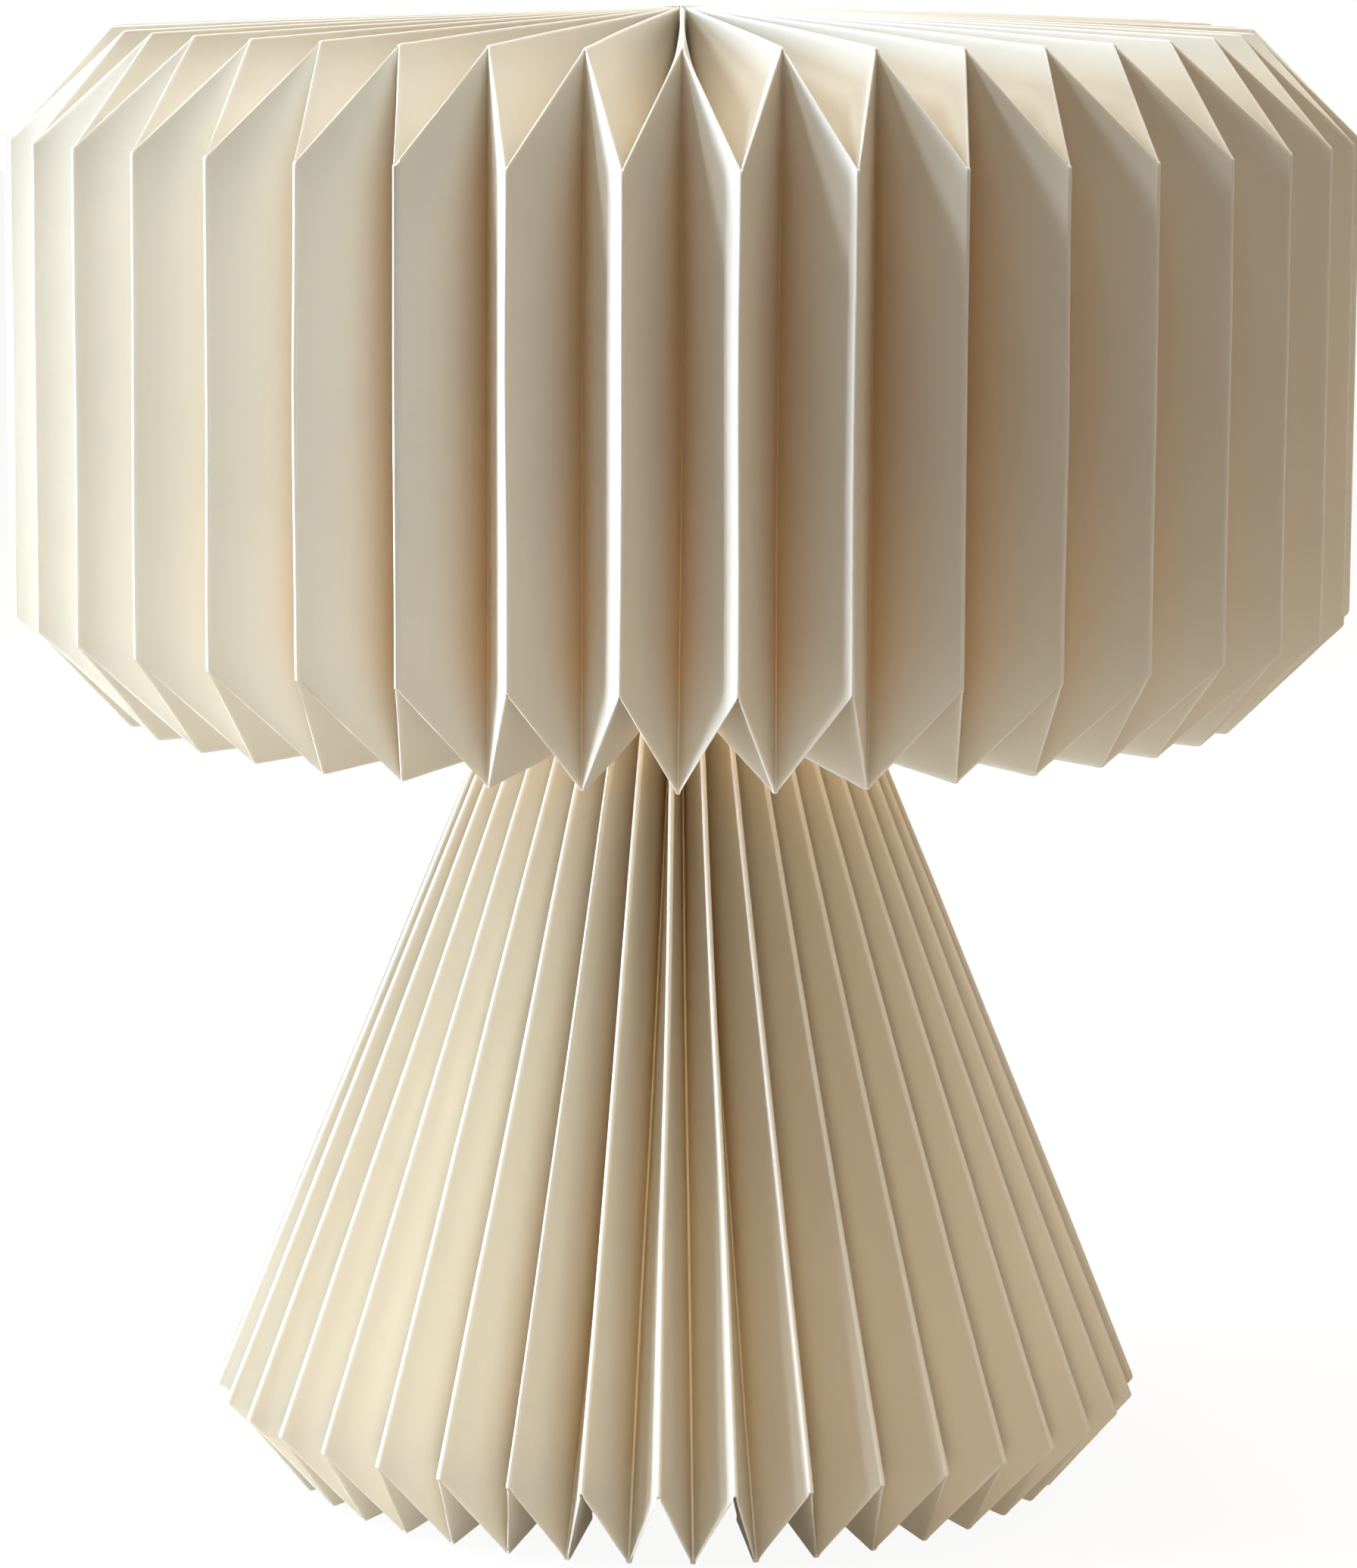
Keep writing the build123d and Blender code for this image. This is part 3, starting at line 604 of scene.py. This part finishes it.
@dataclass
class PleatedPaper:
    """Paper pleated round the axis, in two sheets that are glued at folds."""

    label: str = "paper"
    node: str = "paper"
    body: Body = Body.STAND
    finish: str = "ivory_paper"
    pleats: int = 40
    turn: float = 0.0
    seam_fold: int = -5
    paper: float = 0.35 * MM
    nose: float = 0.38 * MM
    shoulder_round: float = 0.9 * MM
    notch: float = 0.9 * MM
    waver: float = 0.35 * MM
    bow: float = 0.22 * MM
    # strength of the painted warm shade in the folds: in the walls, on the turned-in parts, added
    # at the gather, and how fast it fades out of a fold
    fold_shade_strength: float = 0.65
    turned_fold_shade: float = 0.2
    gather_fold_shade: float = 0.8
    fold_shade_spread: float = 1.6
    seed: float = 0.0
    # the stations of the upright wall, and how folds settle below and above the middle
    walls: tuple[int, ...] = (1,)
    settle: tuple[float, float] = (1.0, -1.0)
    middle: tuple[int, float] = (2, 0.5)
    # where folds hold still, panels are straight and the gather gets painted warm shade
    still_radius: float = 60 * MM
    straight_radius: float = 80 * MM
    gather_radius: float = 45 * MM
    shoulder_reach: float = 30 * MM
    # a fold's rounding, against the pitch and in radii
    nose_share: float = 0.42
    nose_loss: float = 0.25
    swell_fall: float = 3.0
    swell_end: float = 8.0
    notch_reach: float = 0.9
    notch_run: float = 0.8
    # the edge turned over at a seam
    turned: tuple[float, ...] = (-0.5 * MM, -0.25 * MM, 0.0, 0.3 * MM, 0.7 * MM, 1.2 * MM, 1.7 * MM)
    stand_off: float = 1.08
    nose_sink: float = 0.35
    ragged: float = 0.16
    unworn: float = 0.6 * MM
    curl: float = 0.35 * MM
    curl_reach: float = 2.5 * MM

    def stations(self) -> list[Station]:
        """Lists the stations from one cut edge to the other."""
        raise NotImplementedError

    def rows(self) -> list[tuple[int, float]]:
        """Places the rows of the mesh.

        Returns:
            For each row, the station before it and how far it is towards the next one.
        """
        stations = self.stations()
        placed: list[tuple[int, float]] = []
        for number, (low, high) in enumerate(zip(stations, stations[1:])):
            length = math.dist(low.inner, high.inner)
            near = self.shoulder_round / length
            shares = {0.0}
            if low.shoulder:
                shares |= {near / 2, near, 2.5 * near}
            if high.shoulder:
                shares |= {1 - near / 2, 1 - near, 1 - 2.5 * near}
            shares |= {step / low.rows for step in range(1, low.rows)}
            placed += [(number, share) for share in sorted(shares)]
        return placed + [(len(stations) - 2, 1.0)]

    def along(self, rows: list[tuple[int, float]]) -> tuple[np.ndarray, np.ndarray]:
        """Measures each row along the folds.

        Args:
            rows: the rows.

        Returns:
            Each row's distance from the first cut edge, and from the nearest shoulder.
        """
        stations = self.stations()
        lengths = [math.dist(a.inner, b.inner) for a, b in zip(stations, stations[1:])]
        starts = [0.0, *np.cumsum(lengths)]
        run = np.array([starts[number] + share * lengths[number] for number, share in rows])
        shoulders = [starts[number] for number, station in enumerate(stations) if station.shoulder]
        reach = np.min([np.abs(run - place) for place in shoulders], axis=0)
        return run, reach

    def unsteady(self, fold: int, run: float, movement: Wander) -> float:
        """Gives the small, smooth wandering of a hand-folded crease, from -1 to 1.

        Args:
            fold: the fold's number.
            run: the place along it.
            movement: which of its movements is asked for.

        Returns:
            The offset's share.
        """
        around, channel = fold % (2 * self.pleats), movement.value
        spot = Vector((around * NOISE_STEPS[0] + self.seed,
                       run * NOISE_STEPS[1] + channel * NOISE_STEPS[2],
                       channel * NOISE_STEPS[3] + self.seed))
        return max(-1.0, min(1.0, NOISE_GAIN * noise.noise(spot)))

    def creases(self, first: int, last: int, rows: list[tuple[int, float]]) -> np.ndarray:
        """Places the fold lines.

        Args:
            first: the first fold's number.
            last: the last fold's number.
            rows: the rows.

        Returns:
            Points by fold and row, in metres.
        """
        stations = self.stations()
        run, reach = self.along(rows)
        points = np.zeros((last - first + 1, len(rows), 3))
        for fold in range(first, last + 1):
            angle = self.turn + fold * math.pi / self.pleats
            for row, (number, share) in enumerate(rows):
                low, high = stations[number], stations[number + 1]
                start, end = (low.outer, high.outer) if fold % 2 else (low.inner, high.inner)
                radius = start[0] + (end[0] - start[0]) * share
                height = start[1] + (end[1] - start[1]) * share
                room = min(1.0, radius / self.still_radius)
                aside = self.waver * room * self.unsteady(fold, run[row], Wander.ASIDE)
                inward = self.waver * room * abs(self.unsteady(fold, run[row], Wander.INWARD))
                lift = self.settle[(number, share) >= self.middle] * self.waver
                lift *= 1 + self.unsteady(fold, 0.0, Wander.HEIGHT)
                lift *= math.exp(-((reach[row] / self.shoulder_reach) ** 2))
                points[fold - first, row] = (
                    (radius - inward) * math.sin(angle) + aside * math.cos(angle),
                    -(radius - inward) * math.cos(angle) + aside * math.sin(angle),
                    height + lift,
                )
        return points

    def columns(self, width: float) -> np.ndarray:
        """Places the columns of the mesh across one panel.

        Args:
            width: the panel's width.

        Returns:
            Distances from the panel's first fold.
        """
        near = np.array([0.0, 0.3, 0.65, 1.0, 1.7, 3.2]) * self.nose
        middle = np.array([0.3, 0.5, 0.7]) * width
        return np.concatenate([near, middle, width - near[::-1]])

    def bend(self, point: np.ndarray, gap: float, nose: float,
             fold: tuple[np.ndarray, np.ndarray, np.ndarray], reach: float) -> np.ndarray:
        """Moves a point near a fold onto its rounding, and into the notch of its tip.

        Args:
            point: the place on the straight panel.
            gap: its distance from the fold.
            nose: the rounding's radius.
            fold: the ways into the fold, across it and along the panel.
            reach: the distance from the nearest shoulder.

        Returns:
            The moved point.
        """
        inward, across, way = fold
        if gap > self.swell_end * nose:
            return point
        straight, down = gap * float(way @ across), gap * float(way @ inward)
        swell, sunk = math.exp(-(((gap - nose) / (self.swell_fall * nose)) ** 2)), down
        if gap < nose:
            swell, sunk = math.sin(math.pi * gap / 2 / nose), down * gap / nose
        bulged = math.hypot(straight, nose * swell)
        point = point + across * (bulged - straight) + inward * (sunk - down)
        pinch = self.notch * max(0.0, 1 - gap / (self.notch_reach * nose))
        pinch *= math.exp(-((reach / (self.notch_run * self.shoulder_round)) ** 2))
        return point + inward * pinch * 0.5

    def folded(self, first: int, last: int) -> tuple[np.ndarray, ...]:
        """Folds the sheet: rounded creases, notched tips, soft shoulders and slightly bowed panels.

        Args:
            first: the fold that the sheet starts on.
            last: the fold that it ends on.

        Returns:
            Points by row and column, and for each the strength of its painted warm fold shade, the
            distance to the nearest crease, and the flat place as two lengths.
        """
        rows, stations = self.rows(), self.stations()
        run, reach = self.along(rows)
        creases = self.creases(first - 1, last + 1, rows)
        width = float(np.linalg.norm(creases[1, len(rows) // 2] - creases[2, len(rows) // 2]))
        shares = self.columns(width)
        count = len(shares) - 1
        shape = (len(rows), (last - first) * count + 1)
        points, painted_shade = np.zeros((*shape, 3)), np.zeros(shape)
        crease, flat = np.zeros(shape), np.zeros((*shape, 2))
        for panel in range(last - first):
            before, here, there, after = (creases[panel + step] for step in range(4))
            for row, (number, share) in enumerate(rows):
                depth = stations[number].depth * (1 - share) + stations[number + 1].depth * share
                side = there[row] - here[row]
                wide = np.linalg.norm(side)
                side /= wide
                pitch = abs(here[row, 0] * there[row, 1] - here[row, 1] * there[row, 0])
                pitch /= np.linalg.norm(here[row, :2])
                nose = min(self.nose, self.nose_share * pitch - self.nose_loss * self.paper)
                folds = []
                for point, other, way in ((here, before, side), (there, after, -side)):
                    back = unit(other[row] - point[row])
                    folds.append((unit(way + back), unit(way - back), way))
                along = here[min(row + 1, len(rows) - 1)] - here[max(row - 1, 0)]
                face = np.cross(side, unit(along))
                sag = self.bow * self.unsteady(2 * (first + panel) + 1, run[row], Wander.BOW)
                tight = min(1.0, np.linalg.norm(here[row, :2]) / self.straight_radius)
                for column, place in enumerate(shares):
                    spot = place * wide / width
                    point = here[row] + side * spot
                    for fold, gap in zip(folds, (spot, wide - spot)):
                        point = self.bend(point, gap, nose, fold, reach[row])
                    point = point + face * sag * tight * math.sin(math.pi * spot / wide)
                    index = panel * count + column
                    points[row, index] = point
                    # painted shade: points deep in a fold get a warm tint, stronger at the gather
                    inner = 1 - spot / wide if (first + panel) % 2 == 0 else spot / wide
                    fold_shade, fold_shade_strength = inner, self.fold_shade_strength
                    if number not in self.walls:
                        closing = math.exp(-((math.hypot(*point[:2]) / self.gather_radius) ** 2))
                        fold_shade, fold_shade_strength = 1 - inner, self.turned_fold_shade + self.gather_fold_shade * closing
                    fade = min(1.0, reach[row] / self.shoulder_reach)
                    painted_shade[row, index] = fold_shade_strength * depth * fold_shade ** self.fold_shade_spread * fade
                    crease[row, index] = min(spot, wide - spot, reach[row])
                    flat[row, index] = (panel * width + place, run[row])
        self.soften(points, reach)
        return points, painted_shade, crease, flat

    def soften(self, points: np.ndarray, reach: np.ndarray) -> None:
        """Rounds the folds that run across the sheet at its shoulders.

        Args:
            points: points by row and column, changed in place.
            reach: each row's distance from the nearest shoulder.
        """
        for row in np.flatnonzero(reach < 1e-9):
            start, corner, end = points[row - 2].copy(), points[row].copy(), points[row + 2].copy()
            for step, share in ((-1, 0.25), (0, 0.5), (1, 0.75)):
                points[row + step] = (
                    (1 - share) ** 2 * start + 2 * share * (1 - share) * corner + share ** 2 * end
                )

    def lay(self, points: np.ndarray, painted_shade: np.ndarray, crease: np.ndarray,
            flat: np.ndarray) -> bpy.types.Object:
        """Lays a flat grid out over points, gives it its thickness and smooths it.

        Args:
            points: points by row and column, in metres.
            painted_shade: how strongly painted warm shade tints each point, strongest deep in the
                folds, from 0 to 1.
            crease: its distance to the nearest crease.
            flat: its place on the flat sheet.

        Returns:
            The piece.
        """
        rows, columns = points.shape[0] - 1, points.shape[1] - 1
        alone()
        bpy.ops.mesh.primitive_grid_add(x_subdivisions=columns, y_subdivisions=rows, size=1.0)
        piece = bpy.context.object
        mesh = piece.data
        places = np.zeros(len(mesh.vertices) * 3)
        mesh.vertices.foreach_get("co", places)
        places = places.reshape(-1, 3)
        column = np.rint((places[:, 0] + 0.5) * columns).astype(int)
        row = np.rint((places[:, 1] + 0.5) * rows).astype(int)
        mesh.vertices.foreach_set("co", points[row, column].ravel())
        for label, values in (("painted_shade", painted_shade), ("crease", crease)):
            attribute = mesh.attributes.new(label, "FLOAT", "POINT")
            attribute.data.foreach_set("value", values[row, column])
        corners = np.zeros(len(mesh.loops), int)
        mesh.loops.foreach_get("vertex_index", corners)
        mesh.uv_layers[0].data.foreach_set("uv", flat[row, column][corners].ravel())
        mesh.update()
        self.face_outwards(piece)
        modify(piece, "SOLIDIFY", thickness=self.paper, offset=0.0, use_even_offset=False,
               use_quality_normals=True)
        only(piece)
        bpy.ops.object.shade_smooth_by_angle(angle=SMOOTH_ANGLE)
        return piece

    def build(self) -> None:
        """Makes both sheets and the turned edges where they meet."""
        folds = self.seam_fold, self.seam_fold + self.pleats
        for side, fold in zip(("right", "left"), folds):
            self.sheet(f"{self.label}_paper_{side}", fold, f"{self.node}_sheet_{side}")
        for side, fold in zip(("front", "back"), folds):
            self.seam(f"{self.label}_seam_{side}", fold)

    def sheet(self, name: str, first: int, node: str) -> None:
        """Makes one sheet, half of the pleats long.

        Args:
            name: the piece's name.
            first: the fold that it starts on.
            node: the CAD node that it stands for.
        """
        piece = self.lay(*self.folded(first, first + self.pleats))
        finish_piece(piece, name, self.body, "ivory_paper", (node,), self.finish)

    def seam(self, name: str, fold: int) -> None:
        """Makes the narrow edge that one sheet turns over the fold where the next sheet begins.

        Args:
            name: the piece's name.
            fold: the outer fold on which the sheets meet.
        """
        rows = self.rows()
        run, _ = self.along(rows)
        creases = self.creases(fold - 1, fold + 1, rows)
        after = (self.walls[-1] + 1, 0.0)
        first = rows.index((self.walls[0], 0.0)) + 1
        last = rows.index(after) - 1 if after in rows else len(rows) - 3
        clear = self.paper * self.stand_off
        shape = (last - first + 1, len(self.turned))
        points, crease, flat = np.zeros((*shape, 3)), np.zeros(shape), np.zeros((*shape, 2))
        for row in range(first, last + 1):
            here, along = creases[1, row], creases[1, row + 1] - creases[1, row - 1]
            ways = [unit(creases[other, row] - here) for other in (0, 2)]
            out = unit(-(ways[0] + ways[1]))
            curl = self.curl * max(math.exp(-(abs(run[row] - run[end]) / self.curl_reach) ** 2)
                                   for end in (first, last))
            ragged = 1 + self.ragged * self.unsteady(fold, 3 * run[row], Wander.EDGE)
            for column, place in enumerate(self.turned):
                way = ways[0] if place < 0 else ways[1]
                face = np.cross(way, unit(along))
                face *= np.sign(face @ out)
                blend = min(1.0, abs(place) / self.nose)
                lifted = out * (1 - blend) + face * blend
                spot = abs(place) * (ragged if column == len(self.turned) - 1 else 1.0)
                stand = clear - self.nose_sink * self.nose * (1 - blend)
                if place > 0:
                    stand += curl * spot / self.turned[-1]
                points[row - first, column] = here + way * spot + lifted * stand
                crease[row - first, column] = 0.0 if place < self.nose else self.unworn
                flat[row - first, column] = (place, run[row])
        piece = self.lay(points, np.zeros(shape), crease, flat)
        finish_piece(piece, name, self.body, "ivory_paper", (), self.finish)

    def face_outwards(self, piece: bpy.types.Object) -> None:
        """Turns the sheet's faces so that its outside looks away from the axis.

        Args:
            piece: the folded sheet, before it has its thickness.
        """
        outward = sum(face.area * face.normal.xy.dot(face.center.xy.normalized())
                      for face in piece.data.polygons)
        if outward < 0:
            bpy.ops.object.mode_set(mode="EDIT")
            bpy.ops.mesh.select_all(action="SELECT")
            bpy.ops.mesh.flip_normals()
            bpy.ops.object.mode_set(mode="OBJECT")


@dataclass
class Drum(PleatedPaper):
    """The shade's pleated drum, which turns in above and below."""

    label: str = "drum"
    node: str = "shade"
    body: Body = Body.SHADE
    walls: tuple[int, ...] = (2,)
    radius: float = 175 * MM
    pleat_depth: float = 27 * MM
    side: float = 124 * MM
    floor: float = 204 * MM
    crown_rise: float = 4.75 * MM
    gather: float = 6 * MM
    mouth: float = 62 * MM
    mouth_rise: float = 3 * MM
    # the rings of the crown outside the gather: radius, rows after it and strength of painted fold
    # shade
    crown: tuple[tuple[float, int, float], ...] = (
        (0.112, 5, 0.85), (0.075, 5, 1.0), (0.042, 4, 1.0), (0.022, 3, 1.0), (0.012, 3, 1.0))

    def hang(self, radius: float) -> float:
        """Gives the depth of a flat pleat at a radius; the panels close up towards the axis."""
        half = math.pi / self.pleats
        panel = math.hypot(self.radius * math.sin(half),
                           self.radius * math.cos(half) - self.radius + self.pleat_depth)
        return math.sqrt(panel ** 2 - (radius * math.sin(half)) ** 2)

    def stations(self) -> list[Station]:
        """Lists the stations from the mouth round both shoulders to the gather."""
        tip = self.radius - self.pleat_depth
        low = self.floor + self.pleat_depth
        top = low + self.side + self.pleat_depth
        placed = []
        for radius, rows in ((self.mouth, 5), ((self.mouth + tip) / 2, 6)):
            height = self.floor + self.mouth_rise * (tip - radius) / (tip - self.mouth)
            placed.append(Station((radius, height + self.hang(radius)), (radius, height), rows=rows,
                                  depth=0.35))
        placed.append(Station((self.radius, low), (tip, self.floor), True, rows=12))
        placed.append(Station((self.radius, low + self.side), (tip, top), True, rows=5, depth=0.75))
        for radius, rows, depth in (*self.crown, (self.gather, 1, 1.0)):
            height = top + self.crown_rise * (tip - radius) / (tip - self.gather)
            placed.append(Station((radius, height - self.hang(radius)), (radius, height), rows=rows,
                                  depth=depth))
        return placed


@dataclass
class Sleeve(PleatedPaper):
    """The pleated cone round the stem, which turns in at its foot."""

    label: str = "sleeve"
    node: str = "sleeve"
    finish: str = "sleeve_paper"
    walls: tuple[int, ...] = (1, 2, 3)
    settle: tuple[float, float] = (0.3, -0.5)
    middle: tuple[int, float] = (2, 0.0)
    turn: float = math.radians(2.6)
    nose: float = 0.55 * MM
    # stronger painted warm shade in the cone's folds, and none added at a gather
    fold_shade_strength: float = 0.75
    fold_shade_spread: float = 2.4
    gather_fold_shade: float = 0.0
    seed: float = 31.0
    panel: float = 28.7 * MM
    tip: float = 103 * MM
    shoulder: float = 23.2 * MM
    height: float = 220 * MM
    neck: float = 10.875 * MM
    flange: float = 82 * MM
    flange_rise: float = 5 * MM
    lift: float = 0.1 * MM
    # the rings of the cone above its shoulder: share of the way up, rows after it and strength of
    # painted fold shade
    cone: tuple[tuple[float, int, float], ...] = ((0.35, 6, 0.75), (0.7, 5, 0.9), (1.0, 1, 1.0))

    def inner(self, height: float) -> float:
        """Gives the radius of the inner folds at a height above the tips."""
        return self.tip - height * (self.tip - self.neck) / self.height

    def outer(self, height: float) -> float:
        """Gives the radius of the outer folds at a height above the tips."""
        lean = 1 / math.hypot(1, (self.tip - self.neck) / self.height)
        across = (self.inner(height) + self.panel / 2) * math.sin(math.pi / self.pleats)
        return self.inner(height) + math.sqrt(self.panel ** 2 - across ** 2) / lean

    def stations(self) -> list[Station]:
        """Lists the stations from the lower opening round the shoulder and up the cone."""
        run = self.tip - self.flange
        steep = math.hypot(run, self.flange_rise) / run
        depth = math.sqrt(self.panel ** 2 - (self.flange * math.sin(math.pi / self.pleats)) ** 2)
        placed = [
            Station((self.flange, self.lift + self.flange_rise + depth * steep),
                    (self.flange, self.lift + self.flange_rise), rows=5, depth=0.3),
            Station((self.outer(self.shoulder), self.lift + self.shoulder), (self.tip, self.lift),
                    True, depth=0.55),
        ]
        for share, rows, fold_shade in self.cone:
            height = self.shoulder + (self.height - self.shoulder) * share
            placed.append(Station((self.outer(height), self.lift + height),
                                  (self.inner(height), self.lift + height), rows=rows, depth=fold_shade))
        return placed


# ---- the frame's own pieces ----
def dress_nodes() -> None:
    """Gives each CAD node that stays the finish of its slot."""
    slots = {part["node"]: part["material_slot"] for part in frame["record"]["subparts"]}
    for name, node in frame["nodes"].items():
        node.data.materials.clear()
        node.data.materials.append(material(slots[name]))
        log.info("%s: %s", name, slots[name])


# ---- studio ----
@dataclass
class Studio:
    """The floor, the lamps and the camera."""

    eye: tuple[float, float, float] = (0.0, -1.55866, 0.43307)
    look_down: float = 0.159
    roll: float = 0.0053
    lens: float = 137.23
    sensor: float = 36.0
    floor_size: float = 12.0
    floor_colour: Colour = (0.52, 0.48, 0.42)
    floor_roughness: float = 0.9
    floor_light: float = 1.08
    floor_share: float = 0.86
    ambient: Colour = (0.012, 0.008, 0.005)
    bounces: int = 6

    def build(self) -> None:
        """Sets up the whole studio."""
        self.camera()
        self.floor()
        self.world()
        self.softbox("key_low", -72.0, 0.35, 2.0, (0.22, 0.5), 25.0, (0.72, 0.84, 1.0))
        self.softbox("key_high", -72.0, 1.8, 1.6, (0.22, 0.5), 16.0, (0.86, 0.92, 1.0))
        self.softbox("wall_left", -84.0, 0.6, 1.8, (0.6, 1.2), 52.0, (0.60, 0.78, 1.0))
        self.softbox("wall_behind_left", -155.0, 1.2, 1.6, (1.0, 1.0), 11.0, (0.86, 0.96, 1.0))
        self.softbox("wall_behind_right", 135.0, 1.0, 1.8, (1.0, 1.0), 13.5, (1.0, 1.0, 1.0))
        self.softbox("wall_right", 70.0, 0.8, 2.2, (1.4, 1.4), 6.0, (1.0, 0.76, 0.44))
        self.softbox("ceiling", 0.0, 2.2, 0.05, (1.2, 1.2), 36.0, (1.0, 0.96, 0.86))
        self.softbox("low_fill", 0.0, 0.05, 1.2, (0.5, 0.06), 0.19, (1.0, 0.88, 0.70), beam=26.0,
                     aim=0.06)
        self.hang("shade_glow", "DISK", (0.12, 0.12), (0.0, 0.0, 0.245), 0.15, (1.0, 0.64, 0.24))

    def camera(self) -> None:
        """Places the camera as in the photograph."""
        data = bpy.data.cameras.new("camera")
        data.lens, data.sensor_width, data.sensor_fit = self.lens, self.sensor, "AUTO"
        data.clip_start, data.clip_end = 0.05, 50.0
        camera = bpy.data.objects.new("camera", data)
        bpy.context.collection.objects.link(camera)
        sin, cos = math.sin(self.look_down), math.cos(self.look_down)
        turn, hold = math.sin(self.roll), math.cos(self.roll)
        right = Vector((hold, turn * sin, turn * cos))
        up = Vector((-turn, hold * sin, hold * cos))
        back = Vector((0.0, -cos, sin))
        matrix = Matrix((right, up, back)).transposed().to_4x4()
        matrix.translation = Vector(self.eye)
        camera.matrix_world = matrix
        bpy.context.scene.camera = camera

    def floor(self) -> None:
        """Lays a pale floor that shows white to the camera and keeps the lamp's shadow."""
        alone()
        bpy.ops.mesh.primitive_plane_add(size=self.floor_size)
        floor = bpy.context.object
        floor.name = "studio_floor"
        pale = bpy.data.materials.new("studio_floor")
        pale.use_nodes = True
        tree = Tree(pale.node_tree)
        surface = pale.node_tree.nodes["Principled BSDF"]
        surface.inputs["Base Color"].default_value = (*self.floor_colour, 1.0)
        surface.inputs["Roughness"].default_value = self.floor_roughness
        seen = self.seen(tree)
        light = tree.add("Emission", {"Color": WHITE, "Strength": self.floor_light})
        share = tree.math("MULTIPLY", seen, self.floor_share)
        tree.show("Material Output", share, surface, light)
        floor.data.materials.append(pale)

    def seen(self, tree: Tree) -> bpy.types.NodeSocket:
        """Gives 1 for rays from the camera, off gloss or through glass, but not through paper.

        Args:
            tree: the tree that needs it.

        Returns:
            The mask's socket.
        """
        path = tree.add("LightPath")
        mask = tree.math("MAXIMUM", path.outputs["Is Camera Ray"], path.outputs["Is Glossy Ray"])
        mask = tree.math("MAXIMUM", mask, path.outputs["Is Transmission Ray"])
        sharp = tree.math("SUBTRACT", 1.0, path.outputs["Is Diffuse Ray"])
        return tree.math("MULTIPLY", mask, sharp)

    def world(self) -> None:
        """Makes a white backdrop over a dim, warm room."""
        world = bpy.data.worlds.new("studio")
        world.use_nodes = True
        bpy.context.scene.world = world
        tree = Tree(world.node_tree)
        backdrop = tree.add("Background", {"Color": WHITE, "Strength": 1.0})
        room = world.node_tree.nodes["Background"]
        room.inputs["Color"].default_value = (*self.ambient, 1.0)
        room.inputs["Strength"].default_value = 1.0
        tree.show("World Output", self.seen(tree), room, backdrop)
        bpy.context.scene.view_settings.view_transform = "Standard"
        cycles = bpy.context.scene.cycles
        cycles.diffuse_bounces = cycles.transmission_bounces = self.bounces
        cycles.max_bounces = 2 * self.bounces

    def softbox(self, name: str, azimuth: float, height: float, away: float,
                size: tuple[float, float], power: float, colour: Colour, beam: float = 180.0,
                aim: float = 0.22) -> None:
        """Hangs one softbox that faces the lamp.

        Args:
            name: its name.
            azimuth: degrees round the lamp from the front, positive to the right.
            height: above the floor.
            away: distance from the axis.
            size: width and height.
            power: in watts.
            colour: its light.
            beam: how wide its light spreads, in degrees.
            aim: height on the axis that it faces.
        """
        angle = math.radians(azimuth)
        place = Vector((away * math.sin(angle), -away * math.cos(angle), height))
        box = self.hang(name, "RECTANGLE", size, place, power, colour)
        box.data.spread = math.radians(beam)
        way = Vector((0.0, 0.0, aim)) - box.location
        box.rotation_euler = way.to_track_quat("-Z", "Y").to_euler()

    def hang(self, name: str, shape: str, size: tuple[float, float], place: Vector, power: float,
             colour: Colour) -> bpy.types.Object:
        """Hangs a light that shines down and is unseen by the camera.

        Args:
            name: its name.
            shape: its outline.
            size: width and height.
            place: where it hangs.
            power: in watts.
            colour: its light.

        Returns:
            Its object.
        """
        light = bpy.data.lights.new(name, "AREA")
        light.shape = shape
        light.size, light.size_y = size
        light.energy, light.color = power, colour
        lamp = bpy.data.objects.new(name, light)
        lamp.location = place
        lamp.visible_camera = False
        bpy.context.collection.objects.link(lamp)
        return lamp


def main() -> None:
    """Builds the studio and the lamp."""
    logging.basicConfig(level=logging.INFO, format="%(message)s")
    Studio().build()
    dress_nodes()
    Drum().build()
    Sleeve().build()


if __name__ == "__main__":
    main()
